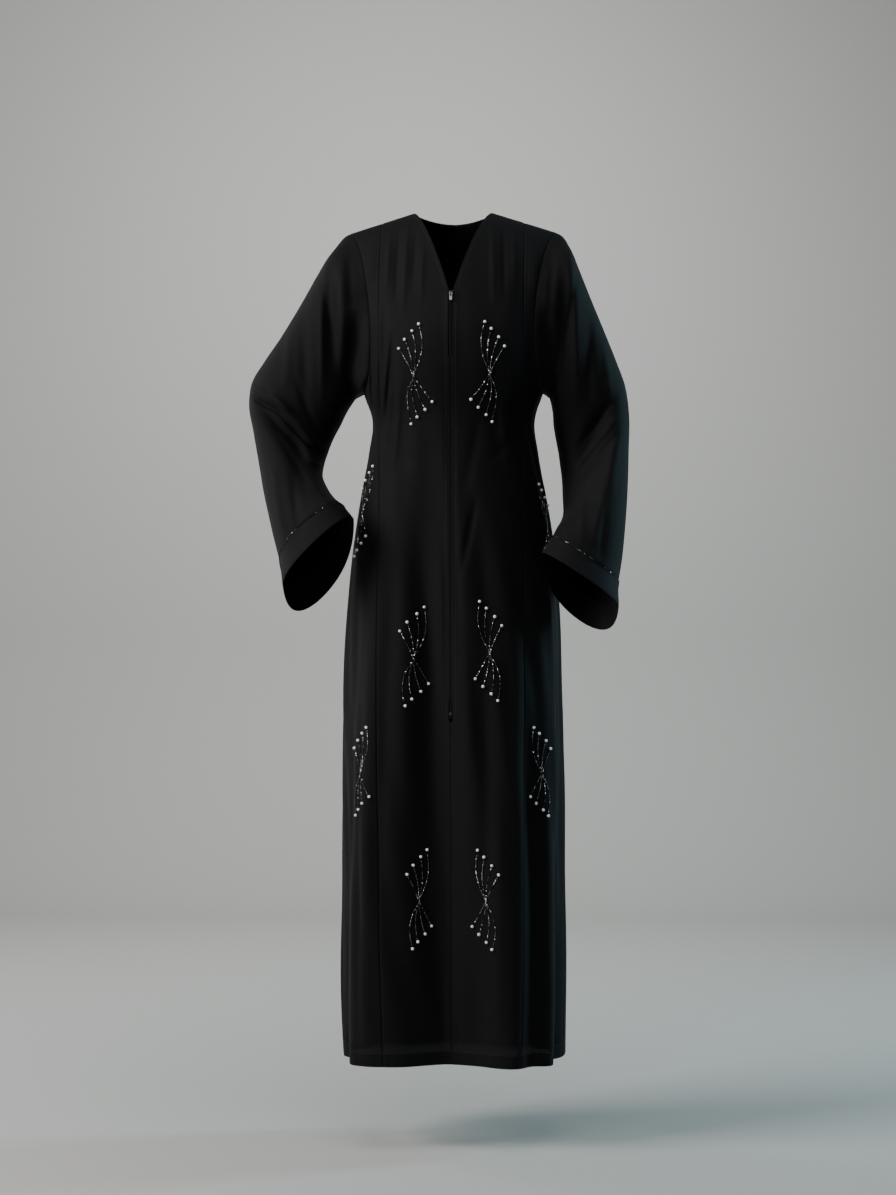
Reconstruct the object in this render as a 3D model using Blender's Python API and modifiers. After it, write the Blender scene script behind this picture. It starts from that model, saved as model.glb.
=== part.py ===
"""A long black abaya with a zipped V neck, princess seams, set-in sleeves and deep cuffs.

It holds the hollow form that it has when worn. Metres, +Z up. The front faces -Y and the
wearer's right side is -X. The origin lies midway between the two neck points, where the
wearer's shoulders and neck carry the cloth.
"""
import math
from collections import namedtuple

import bmesh
import bpy
import numpy as np
from mathutils import Matrix

# ---- driving dimensions ------------------------------------------------------------------
HEM_Z = -1.406              # neck point to hem
NECK_X = 0.066              # neck point, half the neck's width
TIP_X, TIP_Z = 0.174, -0.034      # shoulder tip, where the sleeve is set in
UNDERARM_X, UNDERARM_Z = 0.150, -0.300
ARMHOLE_SCOOP_FRONT = 0.026       # how far the armhole curves in from a straight line
ARMHOLE_SCOOP_BACK = 0.016
V_DEPTH = 0.140             # neck point to the bottom of the V
V_CURVE = 1.5               # how far the V's edges bend out towards the neck points
BACK_NECK_DROP = 0.012
CHEST_ROUND_FRONT = 0.250   # height over which the front rounds from the shoulder seam
CHEST_ROUND_BACK = 0.200
PRINCESS_X = 0.119          # princess seam, from the centre front
PRINCESS_HEM_X = 0.112
PRINCESS_BEND_Z = -0.950    # from here down the seam leans in to its place at the hem
ZIP_HALF_GAP = 0.0034       # from the centre to each panel's folded edge along the zip
ZIP_END_Z = -0.840
WALL = 0.0012               # cloth wall
SEAM_GAP = 0.0003
SHOULDER_GAP = 0.0005
SIDES = (("right", -1), ("left", 1))

BodyRow = namedtuple("BodyRow", "z half_width front back fullness")
BODY = (                    # the ring of the body at each height
    BodyRow(-1.406, 0.180, 0.134, 0.142, 0.13),
    BodyRow(-1.300, 0.183, 0.134, 0.140, 0.13),
    BodyRow(-1.100, 0.184, 0.133, 0.137, 0.12),
    BodyRow(-0.950, 0.184, 0.132, 0.135, 0.11),
    BodyRow(-0.800, 0.181, 0.130, 0.133, 0.10),
    BodyRow(-0.660, 0.175, 0.127, 0.130, 0.09),
    BodyRow(-0.560, 0.167, 0.123, 0.124, 0.09),
    BodyRow(-0.470, 0.154, 0.117, 0.113, 0.09),
    BodyRow(-0.400, 0.141, 0.112, 0.102, 0.10),
    BodyRow(-0.345, 0.135, 0.114, 0.096, 0.12),
    BodyRow(-0.300, 0.150, 0.122, 0.098, 0.12),
    BodyRow(-0.260, 0.160, 0.128, 0.101, 0.11),
    BodyRow(-0.215, 0.170, 0.129, 0.103, 0.10),
    BodyRow(-0.140, 0.186, 0.117, 0.103, 0.09),
    BodyRow(-0.080, 0.199, 0.106, 0.098, 0.08),
    BodyRow(-0.034, 0.207, 0.098, 0.092, 0.08),
    BodyRow(+0.030, 0.212, 0.090, 0.086, 0.08),
)

# A fold runs from z_start down to the hem. around is 0 at the centre front, +0.5 at the left
# side seam, -0.5 at the right one and 1 at the centre back. A height below 0 is a trough.
BodyFold = namedtuple("BodyFold", "around_top around_hem z_start height width_top width_hem")
BODY_FOLDS = (
    BodyFold(-0.100, 0.006, -0.380, -0.056, 0.016, 0.066),
    BodyFold(-0.190, -0.300, -0.420, 0.014, 0.030, 0.040),
    BodyFold(-0.400, -0.405, -0.700, -0.016, 0.030, 0.026),
    BodyFold(0.062, 0.030, -0.390, 0.007, 0.018, 0.020),
    BodyFold(0.140, 0.158, -0.450, 0.016, 0.026, 0.038),
    BodyFold(0.215, 0.250, -0.520, -0.012, 0.016, 0.022),
    BodyFold(0.290, 0.305, -0.560, 0.012, 0.020, 0.026),
    BodyFold(0.420, 0.415, -0.700, -0.014, 0.030, 0.026),
    BodyFold(0.575, 0.590, -0.440, 0.013, 0.030, 0.040),
    BodyFold(0.680, 0.700, -0.360, -0.026, 0.020, 0.038),
    BodyFold(0.800, 0.810, -0.400, 0.018, 0.024, 0.040),
    BodyFold(0.930, 0.905, -0.380, -0.022, 0.018, 0.034),
    BodyFold(-0.985, -0.990, -0.470, 0.014, 0.022, 0.034),
    BodyFold(-0.880, -0.895, -0.360, -0.028, 0.020, 0.036),
    BodyFold(-0.770, -0.785, -0.420, 0.016, 0.026, 0.038),
    BodyFold(-0.660, -0.670, -0.400, -0.020, 0.022, 0.036),
    BodyFold(-0.560, -0.580, -0.480, 0.011, 0.028, 0.036),
)

# A crease is a soft trough or ridge between two places seen from the front: x and z at its two
# ends, its width and its height. side is -1 on the front of the cloth and +1 on the back.
Crease = namedtuple("Crease", "x0 z0 x1 z1 width height side")
BODY_CREASES = (
    Crease(-0.130, -0.060, -0.150, -0.150, 0.013, 0.004, -1),
    Crease(0.132, -0.060, 0.146, -0.160, 0.013, 0.004, -1),
)
SLEEVE_CREASES = (
    Crease(-0.203, -0.070, -0.192, -0.300, 0.013, -0.016, -1),
    Crease(-0.182, -0.060, -0.184, -0.280, 0.013, 0.007, -1),
    Crease(-0.150, -0.200, -0.180, -0.300, 0.018, -0.014, -1),
    Crease(-0.335, -0.300, -0.222, -0.437, 0.013, -0.016, -1),
    Crease(-0.320, -0.275, -0.222, -0.410, 0.016, 0.008, -1),
    Crease(-0.270, -0.330, -0.232, -0.500, 0.014, -0.008, -1),
    Crease(-0.225, -0.100, -0.205, -0.330, 0.016, -0.012, 1),
    Crease(-0.330, -0.330, -0.230, -0.440, 0.015, -0.012, 1),
    Crease(0.186, -0.070, 0.182, -0.300, 0.013, -0.012, -1),
    Crease(0.152, -0.160, 0.166, -0.270, 0.016, -0.010, -1),
    Crease(0.284, -0.330, 0.232, -0.560, 0.013, 0.009, -1),
    Crease(0.262, -0.300, 0.196, -0.480, 0.016, -0.010, -1),
    Crease(0.212, -0.100, 0.192, -0.330, 0.016, -0.012, 1),
    Crease(0.280, -0.380, 0.200, -0.480, 0.015, -0.010, 1),
)

# A ring of the sleeve, at s along it from the armhole (0) to the cuff's edge (1): its outer and
# inner ends seen from the front, the depth of its middle, its half depth, and how far its front
# lifts and its back drops from the line between the ends.
SleeveRow = namedtuple(
    "SleeveRow", "s outer_x outer_z inner_x inner_z middle_y half_depth front_lift back_drop")
SLEEVE_ROWS = {
    "right": (
        SleeveRow(0.09, -0.205, -0.068, -0.163, -0.309, 0.000, 0.080, 0.000, 0.000),
        SleeveRow(0.16, -0.226, -0.101, -0.170, -0.318, 0.001, 0.076, 0.000, 0.000),
        SleeveRow(0.25, -0.253, -0.148, -0.180, -0.334, 0.002, 0.071, 0.000, 0.000),
        SleeveRow(0.35, -0.288, -0.205, -0.190, -0.355, 0.003, 0.067, 0.000, 0.000),
        SleeveRow(0.43, -0.317, -0.247, -0.198, -0.369, 0.004, 0.064, 0.000, 0.002),
        SleeveRow(0.50, -0.338, -0.283, -0.205, -0.384, 0.004, 0.063, 0.000, 0.004),
        SleeveRow(0.56, -0.342, -0.320, -0.211, -0.401, 0.000, 0.064, 0.000, 0.008),
        SleeveRow(0.63, -0.334, -0.363, -0.216, -0.418, -0.008, 0.067, 0.002, 0.014),
        SleeveRow(0.70, -0.323, -0.418, -0.217, -0.438, -0.022, 0.069, 0.006, 0.022),
        SleeveRow(0.79, -0.312, -0.472, -0.203, -0.467, -0.042, 0.069, 0.014, 0.036),
        SleeveRow(0.87, -0.297, -0.531, -0.188, -0.486, -0.062, 0.067, 0.022, 0.050),
        SleeveRow(0.94, -0.283, -0.580, -0.175, -0.497, -0.078, 0.065, 0.027, 0.062),
        SleeveRow(1.00, -0.276, -0.623, -0.159, -0.513, -0.094, 0.064, 0.018, 0.074),
    ),
    "left": (
        SleeveRow(0.09, 0.196, -0.062, 0.161, -0.311, 0.000, 0.080, 0.000, 0.000),
        SleeveRow(0.16, 0.211, -0.098, 0.165, -0.330, 0.001, 0.075, 0.000, 0.000),
        SleeveRow(0.25, 0.231, -0.148, 0.167, -0.355, 0.002, 0.069, 0.000, 0.000),
        SleeveRow(0.35, 0.255, -0.206, 0.171, -0.379, 0.004, 0.065, 0.000, 0.000),
        SleeveRow(0.43, 0.273, -0.251, 0.175, -0.400, 0.006, 0.063, 0.000, 0.002),
        SleeveRow(0.50, 0.287, -0.291, 0.178, -0.422, 0.006, 0.062, 0.000, 0.004),
        SleeveRow(0.57, 0.293, -0.339, 0.181, -0.447, 0.002, 0.062, 0.000, 0.008),
        SleeveRow(0.65, 0.292, -0.393, 0.182, -0.474, -0.010, 0.063, 0.002, 0.016),
        SleeveRow(0.73, 0.290, -0.452, 0.183, -0.500, -0.028, 0.064, 0.004, 0.028),
        SleeveRow(0.81, 0.286, -0.511, 0.179, -0.516, -0.052, 0.064, 0.006, 0.042),
        SleeveRow(0.88, 0.280, -0.569, 0.173, -0.526, -0.072, 0.063, 0.006, 0.054),
        SleeveRow(0.94, 0.273, -0.613, 0.165, -0.541, -0.088, 0.061, 0.006, 0.062),
        SleeveRow(1.00, 0.273, -0.654, 0.147, -0.569, -0.108, 0.060, 0.008, 0.068),
    ),
}
SLEEVE_FULLNESS = 0.08
CREASES_FROM_S = 0.05       # the creases fade out towards the armhole from here
CUFF_S = 0.94               # where the cuff band is sewn to the sleeve
SLEEVE_START = 0.010        # the sleeve's first stretch, straight out of the armhole
SLEEVE_SEAM_GAP = 0.0004
SLOPE_AT_TIP, SLOPE_UNDER_ARM = -0.30, -0.55      # how that stretch runs down as it goes out
SLEEVE_START_S = 0.03       # where along the sleeve it ends


# ---- the cloth's form --------------------------------------------------------------------
def smooth_rows(knots, values, at):
    """Smooth curve through values given at rising knots."""
    slopes = np.gradient(values, knots, axis=0)
    i = np.clip(np.searchsorted(knots, at) - 1, 0, len(knots) - 2)
    span = knots[i + 1] - knots[i]
    t = np.clip((at - knots[i]) / span, 0.0, 1.0)
    shape = (-1,) + (1,) * (np.ndim(values) - 1)
    t, span = t.reshape(shape), span.reshape(shape)
    rest = 1.0 - t
    return (values[i] * rest * rest * (1 + 2 * t) + values[i + 1] * t * t * (3 - 2 * t)
            + span * t * rest * (slopes[i] * rest - slopes[i + 1] * t))


def body_column(name, z):
    knots = np.array([row.z for row in BODY])
    values = np.array([getattr(row, name) for row in BODY])
    return smooth_rows(knots, values, z)


def shoulder_line(x):
    """Height of the shoulder seam's line at x."""
    return TIP_Z * (np.abs(x) - NECK_X) / (TIP_X - NECK_X)


def ring_x(around, z):
    """How far out the ring at height z lies at a place around it, for level arrays."""
    sine, cosine = np.sin(math.pi * around), np.cos(math.pi * around)
    return body_column("half_width", z) * sine * (1 + body_column("fullness", z) * cosine ** 2)


def root_at(around, z):
    """Square root of the drop from the shoulder line, which rises evenly over the shoulder."""
    return np.sqrt(np.maximum(shoulder_line(ring_x(around, z)) - z, 0))


def height_at(around, root):
    """The height at which a place around the body has that root."""
    z = -root ** 2
    for _ in range(8):
        z = shoulder_line(ring_x(around, z)) - root ** 2
    return z


def around_at(x, z, back=False):
    """Where the ring at height z passes x: the place around it, 0 to 0.5, or up to 1 behind."""
    z = np.asarray(z, float)
    fullness = body_column("fullness", z.ravel()).reshape(z.shape)
    share = np.clip(np.abs(x) / body_column("half_width", z.ravel()).reshape(z.shape), 0, 1)
    sine = share.copy() if np.ndim(share) else share
    for _ in range(6):
        error = sine * (1 + fullness * (1 - sine * sine)) - share
        sine = np.clip(sine - error / (1 + fullness - 3 * fullness * sine * sine), 0, 1)
    around = np.arcsin(sine) / math.pi
    return 1.0 - around if back else around


def crease_height(creases, x, z, side):
    """Sum of the creases at places seen from the front; side is -1 in front, +1 behind."""
    height = np.zeros_like(x)
    for row in creases:
        run_x, run_z = row.x1 - row.x0, row.z1 - row.z0
        length = math.hypot(run_x, run_z)
        along = ((x - row.x0) * run_x + (z - row.z0) * run_z) / length ** 2
        off = ((x - row.x0) * run_z - (z - row.z0) * run_x) / length
        ends = np.sin(math.pi * np.clip(along, 0, 1))
        height += np.where(side == row.side, row.height * ends * np.exp(-(off / row.width) ** 2), 0)
    return height


def body_points(around, z):
    """Outer points of the body's cloth at places around the ring and heights z."""
    around, z = np.broadcast_arrays(np.asarray(around, float), np.asarray(z, float))
    shape, around, z = around.shape, around.ravel(), z.ravel()
    half_width, front, back, fullness = (
        body_column(name, z) for name in ("half_width", "front", "back", "fullness"))
    sine, cosine = np.sin(math.pi * around), np.cos(math.pi * around)
    depth = np.where(cosine > 0, front, back)
    x = ring_x(around, z)
    y = -depth * cosine * (1 + fullness * sine ** 2)
    below = np.maximum(shoulder_line(x) - z, 0)
    reach = np.where(cosine > 0, CHEST_ROUND_FRONT, CHEST_ROUND_BACK)
    rounding = np.sqrt(1 - (1 - np.minimum(below / reach, 1)) ** 2)
    y *= rounding
    half_girth = math.pi * np.sqrt((half_width ** 2 + depth ** 2) / 2)
    fold = np.zeros_like(x)
    for row in BODY_FOLDS:
        grown = np.clip((row.z_start - z) / (row.z_start - HEM_Z), 0, 1)
        centre = row.around_top + (row.around_hem - row.around_top) * grown
        width = row.width_top + (row.width_hem - row.width_top) * grown
        away = ((around - centre + 1) % 2 - 1) * half_girth
        fold += row.height * grown * np.exp(-(away / width) ** 2)
    normal_x, normal_y = sine / half_width, -cosine / depth
    size = np.hypot(normal_x, normal_y)
    x = x + fold * normal_x / size
    y = y + fold * normal_y / size
    side = np.where(cosine > 0, -1, 1)
    facing = np.clip(rounding * np.abs(cosine) * 2, 0, 1)
    y = y + side * crease_height(BODY_CREASES, x, z, side) * facing
    return np.stack([x, y, z], axis=-1).reshape(shape + (3,))


def armhole_places(side_sign, t):
    """The armhole's edge as places on the body; t is 0 at the shoulder tip, 0.25 in front,
    0.5 under the arm and 0.75 behind."""
    lift = (1 + np.cos(2 * math.pi * t)) / 2
    scoop = np.where(t <= 0.5, ARMHOLE_SCOOP_FRONT, ARMHOLE_SCOOP_BACK)
    x = UNDERARM_X + (TIP_X - UNDERARM_X) * lift - scoop * np.abs(np.sin(2 * math.pi * t))
    z = UNDERARM_Z + (TIP_Z - UNDERARM_Z) * lift
    around = around_at(x, z)
    around = np.where(t <= 0.5, around, 1 - around)
    around = np.where(np.isclose(lift, 0), 0.5, around)
    return side_sign * around, z


def sleeve_ring(row, turn):
    """A ring of the sleeve; turn is 0 at its outer end and rises over the front."""
    sine, cosine = np.sin(turn), np.cos(turn)
    across = cosine * (1 + SLEEVE_FULLNESS * sine ** 2)
    deep = sine * (1 + SLEEVE_FULLNESS * cosine ** 2)
    x = (row.outer_x + row.inner_x) / 2 + (row.outer_x - row.inner_x) / 2 * across
    y = row.middle_y - row.half_depth * deep
    z = (row.outer_z + row.inner_z) / 2 + (row.outer_z - row.inner_z) / 2 * across
    z += np.where(deep > 0, row.front_lift, row.back_drop) * deep
    return np.stack([x, y, z], axis=-1)


def unit(vectors):
    return vectors / np.linalg.norm(vectors, axis=-1, keepdims=True)


def sleeve_points(name, side_sign, s, t):
    """Outer points of a sleeve, a row for each s and a column for each t around it."""
    turn = 2 * math.pi * t
    armhole = body_points(*armhole_places(side_sign, t))
    rings = [sleeve_ring(row, turn) for row in SLEEVE_ROWS[name]]
    slope = SLOPE_AT_TIP + (SLOPE_UNDER_ARM - SLOPE_AT_TIP) * (1 - np.cos(turn)) / 2
    sideways = np.stack([np.full_like(t, side_sign), np.zeros_like(t), slope], axis=-1)
    out = unit(unit(sideways) + unit(rings[0] - armhole))
    knots = [0.0, SLEEVE_START_S] + [row.s for row in SLEEVE_ROWS[name]]
    rings = [armhole + out * SLEEVE_SEAM_GAP, armhole + out * SLEEVE_START] + rings
    points = smooth_rows(np.array(knots), np.array(rings), s)
    side = np.broadcast_to(np.where(t <= 0.5, -1, 1), points.shape[:2])
    facing = np.clip(2.5 * np.abs(np.sin(turn)), 0, 1)
    facing = facing * np.clip(s / CREASES_FROM_S, 0, 1)[:, None]
    height = crease_height(SLEEVE_CREASES, points[..., 0], points[..., 2], side)
    points[..., 1] += side * facing * height
    return points


# ---- making objects ----------------------------------------------------------------------
def clear_scene():
    for item in list(bpy.data.objects):
        bpy.data.objects.remove(item, do_unlink=True)


def new_collection(name):
    collection = bpy.data.collections.new(name)
    bpy.context.scene.collection.children.link(collection)
    return collection


def principled(name, colour, roughness, metallic=0.0):
    material = bpy.data.materials.new(name)
    material.use_nodes = True
    shader = material.node_tree.nodes["Principled BSDF"]
    shader.inputs["Base Color"].default_value = (*colour, 1.0)
    shader.inputs["Roughness"].default_value = roughness
    shader.inputs["Metallic"].default_value = metallic
    return material


def add_object(name, data, collection, material):
    item = bpy.data.objects.new(name, data)
    collection.objects.link(item)
    data.materials.append(material)
    return item


def cloth_wall(name, grids, collection, material, flip=False, closed=False, wall=WALL):
    """A cloth wall whose outer side passes the points of one or more grids that share edges,
    with its thickness inwards."""
    shape = bmesh.new()
    for grid in grids:
        rows, columns = grid.shape[:2]
        points = [[shape.verts.new(grid[j, i]) for i in range(columns)] for j in range(rows)]
        for j in range(rows - 1):
            for i in range(columns if closed else columns - 1):
                k = (i + 1) % columns
                corners = [points[j][i], points[j][k], points[j + 1][k], points[j + 1][i]]
                shape.faces.new(corners[::-1] if flip else corners)
    bmesh.ops.remove_doubles(shape, verts=shape.verts, dist=1e-5)
    mesh = bpy.data.meshes.new(name)
    shape.to_mesh(mesh)
    shape.free()
    mesh.shade_smooth()
    item = add_object(name, mesh, collection, material)
    solidify = item.modifiers.new("wall", "SOLIDIFY")
    solidify.thickness = wall
    solidify.offset = -1.0
    return item


# ---- panels ------------------------------------------------------------------------------
ZIP_FOOT_TAPER = 0.005      # the centre front closes from the zip to the seam over this height
BODICE_Z = -0.345           # from here the rows climb to the bottom of the armhole
YOKE_Z = -0.250             # and from here, at the princess seam, to the shoulder
LOWER_ROWS = np.concatenate([
    np.linspace(HEM_Z, ZIP_END_Z - ZIP_FOOT_TAPER, 8), np.linspace(ZIP_END_Z, -0.50, 6),
    np.array([-0.45, -0.40, BODICE_Z])])
BODICE_STEPS = np.linspace(0, 1, 5)
YOKE_STEPS = np.array([1.0, 0.88, 0.76, 0.64, 0.52, 0.40, 0.28, 0.16, 0.045, 0.0])
ARMHOLE_CORNER = 0.41       # the side of the armhole turns into its round bottom here
ARMHOLE_BOTTOM = np.array([ARMHOLE_CORNER, 0.45, 0.485, 0.5])


def metres_around(metres, around, z):
    """How far around the ring a small distance in metres reaches, at each place."""
    step = 1e-4
    ahead, behind = body_points(around + step, z), body_points(around - step, z)
    return metres * 2 * step / np.linalg.norm(ahead - behind, axis=-1)


def yoke_patch(left, right, bottom, top, across):
    """Blends four edges, each a list of (around, z), into the grid of places between them.
    The blend runs in the root of the drop, so that rows are even over the shoulder."""
    left, right, bottom, top = (
        places(edge[:, 0], root_at(edge[:, 0], edge[:, 1])) for edge in (left, right, bottom, top))
    c, down = across[None, :, None], YOKE_STEPS[:, None, None]
    corners = ((1 - c) * down * bottom[0] + c * down * bottom[-1]
               + (1 - c) * (1 - down) * top[0] + c * (1 - down) * top[-1])
    blend = ((1 - c) * left[:, None] + c * right[:, None]
             + down * bottom[None] + (1 - down) * top[None] - corners)
    around, root = blend[..., 0].ravel(), blend[..., 1].ravel()
    blend[..., 1] = height_at(around, root).reshape(blend.shape[:2])
    return blend


def between(bottom, top):
    """Rows of places from one edge straight up to another."""
    up = BODICE_STEPS[:, None, None]
    return bottom[None] * (1 - up) + top[None] * up


def seam_edge(x, heights, shift=0.0):
    """Places of a seam that lies at x, moved a little around by half a seam's gap."""
    around = around_at(x, heights)
    return around + metres_around(shift, around, heights)


def princess_x(z):
    leaned = np.clip((z - PRINCESS_BEND_Z) / (HEM_Z - PRINCESS_BEND_Z), 0, 1)
    return PRINCESS_X + (PRINCESS_HEM_X - PRINCESS_X) * leaned


def centre_x(z):
    """Half the gap at the centre front: open along the zip, a seam below it."""
    along_zip = np.clip((z - ZIP_END_Z) / ZIP_FOOT_TAPER + 1, 0, 1)
    return SEAM_GAP / 2 + (ZIP_HALF_GAP - SEAM_GAP / 2) * along_zip


def places(around, z):
    return np.stack(np.broadcast_arrays(around, z), axis=-1)


FRONT_ACROSS = np.array([0, 0.08, 0.22, 0.37, 0.50, 0.58, 0.62, 0.74, 0.86, 0.975, 1.0])
NECK_COLUMN = 6             # the column that runs up to the neck point


def yoke_seam(x, top_z, shift=0.0):
    """Places of a seam at x, from the yoke's first row up to top_z."""
    ends = np.array([YOKE_Z, top_z])
    bottom_root, top_root = np.sqrt(shoulder_line(x) - ends)
    root = top_root + (bottom_root - top_root) * YOKE_STEPS
    z = shoulder_line(x) - root ** 2
    return places(seam_edge(x, z, shift), z)


def side_gap(z):
    return metres_around(SEAM_GAP / 2, np.full_like(z, 0.5), z)


def front_centre_places():
    """Places of a centre front's points, a row for each height and a column from the zip out."""
    across = FRONT_ACROSS
    z = np.concatenate([LOWER_ROWS, BODICE_Z + (YOKE_Z - BODICE_Z) * BODICE_STEPS[1:]])
    inner, outer = seam_edge(centre_x(z), z), seam_edge(princess_x(z), z, -SEAM_GAP / 2)
    lower = places(inner[:, None] + (outer - inner)[:, None] * across, z[:, None])
    share = np.clip(across / across[NECK_COLUMN], 0, 1)
    on_shoulder = np.clip((across - across[NECK_COLUMN]) / (1 - across[NECK_COLUMN]), 0, 1)
    top_x = (ZIP_HALF_GAP + (NECK_X - ZIP_HALF_GAP) * share
             + (PRINCESS_X - SEAM_GAP / 2 - NECK_X) * on_shoulder)
    top_z = np.where(share < 1, -V_DEPTH * (1 - share) ** V_CURVE, shoulder_line(top_x))
    top = places(around_at(top_x, top_z), top_z)
    outer_seam = yoke_seam(PRINCESS_X, shoulder_line(PRINCESS_X), -SEAM_GAP / 2)
    yoke = yoke_patch(yoke_seam(ZIP_HALF_GAP, -V_DEPTH), outer_seam, lower[-1], top, across)
    return np.concatenate([lower, yoke[1:]])


def make_front_centre(name, sign, collection, material):
    grid_places = front_centre_places()
    grid = body_points(sign * grid_places[..., 0], grid_places[..., 1])
    grid[-1, NECK_COLUMN:, 1] -= SHOULDER_GAP / 2
    return cloth_wall(name, [grid], collection, material, flip=sign < 0)


SIDE_ACROSS = np.array([0, 0.03, 0.22, 0.42, 0.62, 0.80, 0.90, 0.97, 1.0])
CORNER_COLUMN = 5           # the column that runs up to the armhole's corner


def make_front_side(name, sign, collection, material):
    """A side front: below the armhole it is wide, and beside it a strip up to the shoulder."""
    across, z = SIDE_ACROSS, LOWER_ROWS
    inner, outer = seam_edge(princess_x(z), z, SEAM_GAP / 2), 0.5 - side_gap(z)
    lower = places(inner[:, None] + (outer - inner)[:, None] * across, z[:, None])
    armhole_bottom = places(*armhole_places(1, ARMHOLE_BOTTOM))
    armhole_bottom[-1, 0] -= side_gap(np.array([UNDERARM_Z]))[0]
    yoke_start = places(seam_edge(PRINCESS_X, np.array([YOKE_Z]), SEAM_GAP / 2), YOKE_Z)
    strip_across = across[:CORNER_COLUMN + 1] / across[CORNER_COLUMN]
    strip_bottom = yoke_start + (armhole_bottom[0] - yoke_start) * strip_across[:, None]
    bodice = between(lower[-1], np.concatenate([strip_bottom[:-1], armhole_bottom]))
    bodice[:, 0] = places(seam_edge(PRINCESS_X, bodice[:, 0, 1], SEAM_GAP / 2), bodice[:, 0, 1])
    bodice[:, -1, 0] = 0.5 - side_gap(bodice[:, -1, 1])
    top_x = PRINCESS_X + SEAM_GAP / 2 + (TIP_X - PRINCESS_X - SEAM_GAP / 2) * strip_across
    top = places(around_at(top_x, shoulder_line(top_x)), shoulder_line(top_x))
    armhole_side = places(*armhole_places(1, ARMHOLE_CORNER * YOKE_STEPS))
    inner_seam = yoke_seam(PRINCESS_X, shoulder_line(PRINCESS_X), SEAM_GAP / 2)
    strip = yoke_patch(inner_seam, armhole_side, strip_bottom, top, strip_across)
    strip[0] = strip_bottom
    grids = [body_points(sign * part[..., 0], part[..., 1])
             for part in (np.concatenate([lower[:-1], bodice]), strip)]
    grids[1][-1, :, 1] -= SHOULDER_GAP / 2
    return cloth_wall(name, grids, collection, material, flip=sign < 0)


HALF_BACK_ACROSS = np.array(
    [0, 0.008, 0.03, 0.07, 0.11, 0.15, 0.195, 0.24, 0.28, 0.315, 0.355, 0.395, 0.43, 0.465])
BACK_CORNER_COLUMN = 3
BACK_TOP_X = np.array(
    [TIP_X, 0.158, 0.136, 0.113, 0.090, NECK_X, 0.061, 0.0525, 0.041, 0.028, 0.014, 0.0])


def mirror_across(line):
    """A line of places on the left half of the back, with its mirror image after it."""
    mirrored = np.array([2.0, 0.0]) + line[::-1] * np.array([-1.0, 1.0])
    return np.concatenate([line, mirrored[1:]])


def make_back(name, collection, material):
    """The back, one piece from side seam to side seam."""
    across = np.concatenate([HALF_BACK_ACROSS, [0.5], 1 - HALF_BACK_ACROSS[::-1]])
    z, first = LOWER_ROWS, BACK_CORNER_COLUMN
    gap = side_gap(z)[:, None]
    lower = places(0.5 + gap + (1 - 2 * gap) * across, z[:, None])
    armhole_bottom = places(*armhole_places(1, 1 - ARMHOLE_BOTTOM))[::-1]
    armhole_bottom[0, 0] += side_gap(np.array([UNDERARM_Z]))[0]
    corner = armhole_bottom[-1]
    half_across = (across[first:len(across) // 2 + 1] - across[first]) / (0.5 - across[first])
    half_line = corner + (np.array([1.0, corner[1]]) - corner) * half_across[:, None]
    yoke_bottom = mirror_across(half_line)
    bodice = between(lower[-1], mirror_across(np.concatenate([armhole_bottom[:-1], half_line])))
    for edge, sense in ((0, 1), (-1, -1)):
        bodice[:, edge, 0] = 1 + sense * (side_gap(bodice[:, edge, 1]) - 0.5)
    neck_z = -BACK_NECK_DROP * (1 - (BACK_TOP_X / NECK_X) ** 2)
    top_z = np.where(BACK_TOP_X < NECK_X, neck_z, shoulder_line(BACK_TOP_X))
    half_top = places(around_at(BACK_TOP_X, top_z, back=True), top_z)
    armhole_side = places(*armhole_places(1, 1 - ARMHOLE_CORNER * YOKE_STEPS))
    armhole_side[-1] = half_top[0]
    mirrored_side = np.array([2.0, 0.0]) + armhole_side * np.array([-1.0, 1.0])
    yoke_across = (across[first:-first] - across[first]) / (1 - 2 * across[first])
    yoke = yoke_patch(armhole_side, mirrored_side, yoke_bottom, mirror_across(half_top),
                      yoke_across)
    yoke[0] = yoke_bottom
    grids = [body_points(part[..., 0], part[..., 1])
             for part in (np.concatenate([lower[:-1], bodice]), yoke)]
    on_shoulder = np.abs(grids[1][-1, :, 0]) > NECK_X - 1e-6
    grids[1][-1, on_shoulder, 1] += SHOULDER_GAP / 2
    return cloth_wall(name, grids, collection, material)


# ---- sleeves and cuffs -------------------------------------------------------------------
SLEEVE_AROUND = np.concatenate([
    ARMHOLE_CORNER * YOKE_STEPS[::-1], ARMHOLE_BOTTOM[1:], 1 - ARMHOLE_BOTTOM[1::-1],
    1 - ARMHOLE_CORNER * YOKE_STEPS[1:-1]])
SEAM_STEP = 0.006           # the rows next to the cuff's seam keep this close to it
SLEEVE_STEPS = np.array([0, 0.03, 0.09, 0.16, 0.22, 0.28, 0.34, 0.39, 0.43, 0.47, 0.50, 0.53,
                         0.56, 0.60, 0.65, 0.70, 0.75, 0.81, 0.87, CUFF_S - SEAM_STEP, CUFF_S])
CUFF_STEPS = np.array([CUFF_S, CUFF_S + SEAM_STEP, 0.97, 1.0])


def make_sleeve(name, side_name, sign, collection, material):
    grid = sleeve_points(side_name, sign, SLEEVE_STEPS, SLEEVE_AROUND)
    return cloth_wall(name, [grid], collection, material, flip=sign < 0, closed=True)


def make_cuff(name, side_name, sign, collection, material):
    """The cuff band, a seam's gap away from the sleeve's last ring."""
    grid = sleeve_points(side_name, sign, CUFF_STEPS, SLEEVE_AROUND)
    grid[0] += unit(grid[1] - grid[0]) * SEAM_GAP
    return cloth_wall(name, [grid], collection, material, flip=sign < 0, closed=True)


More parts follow.
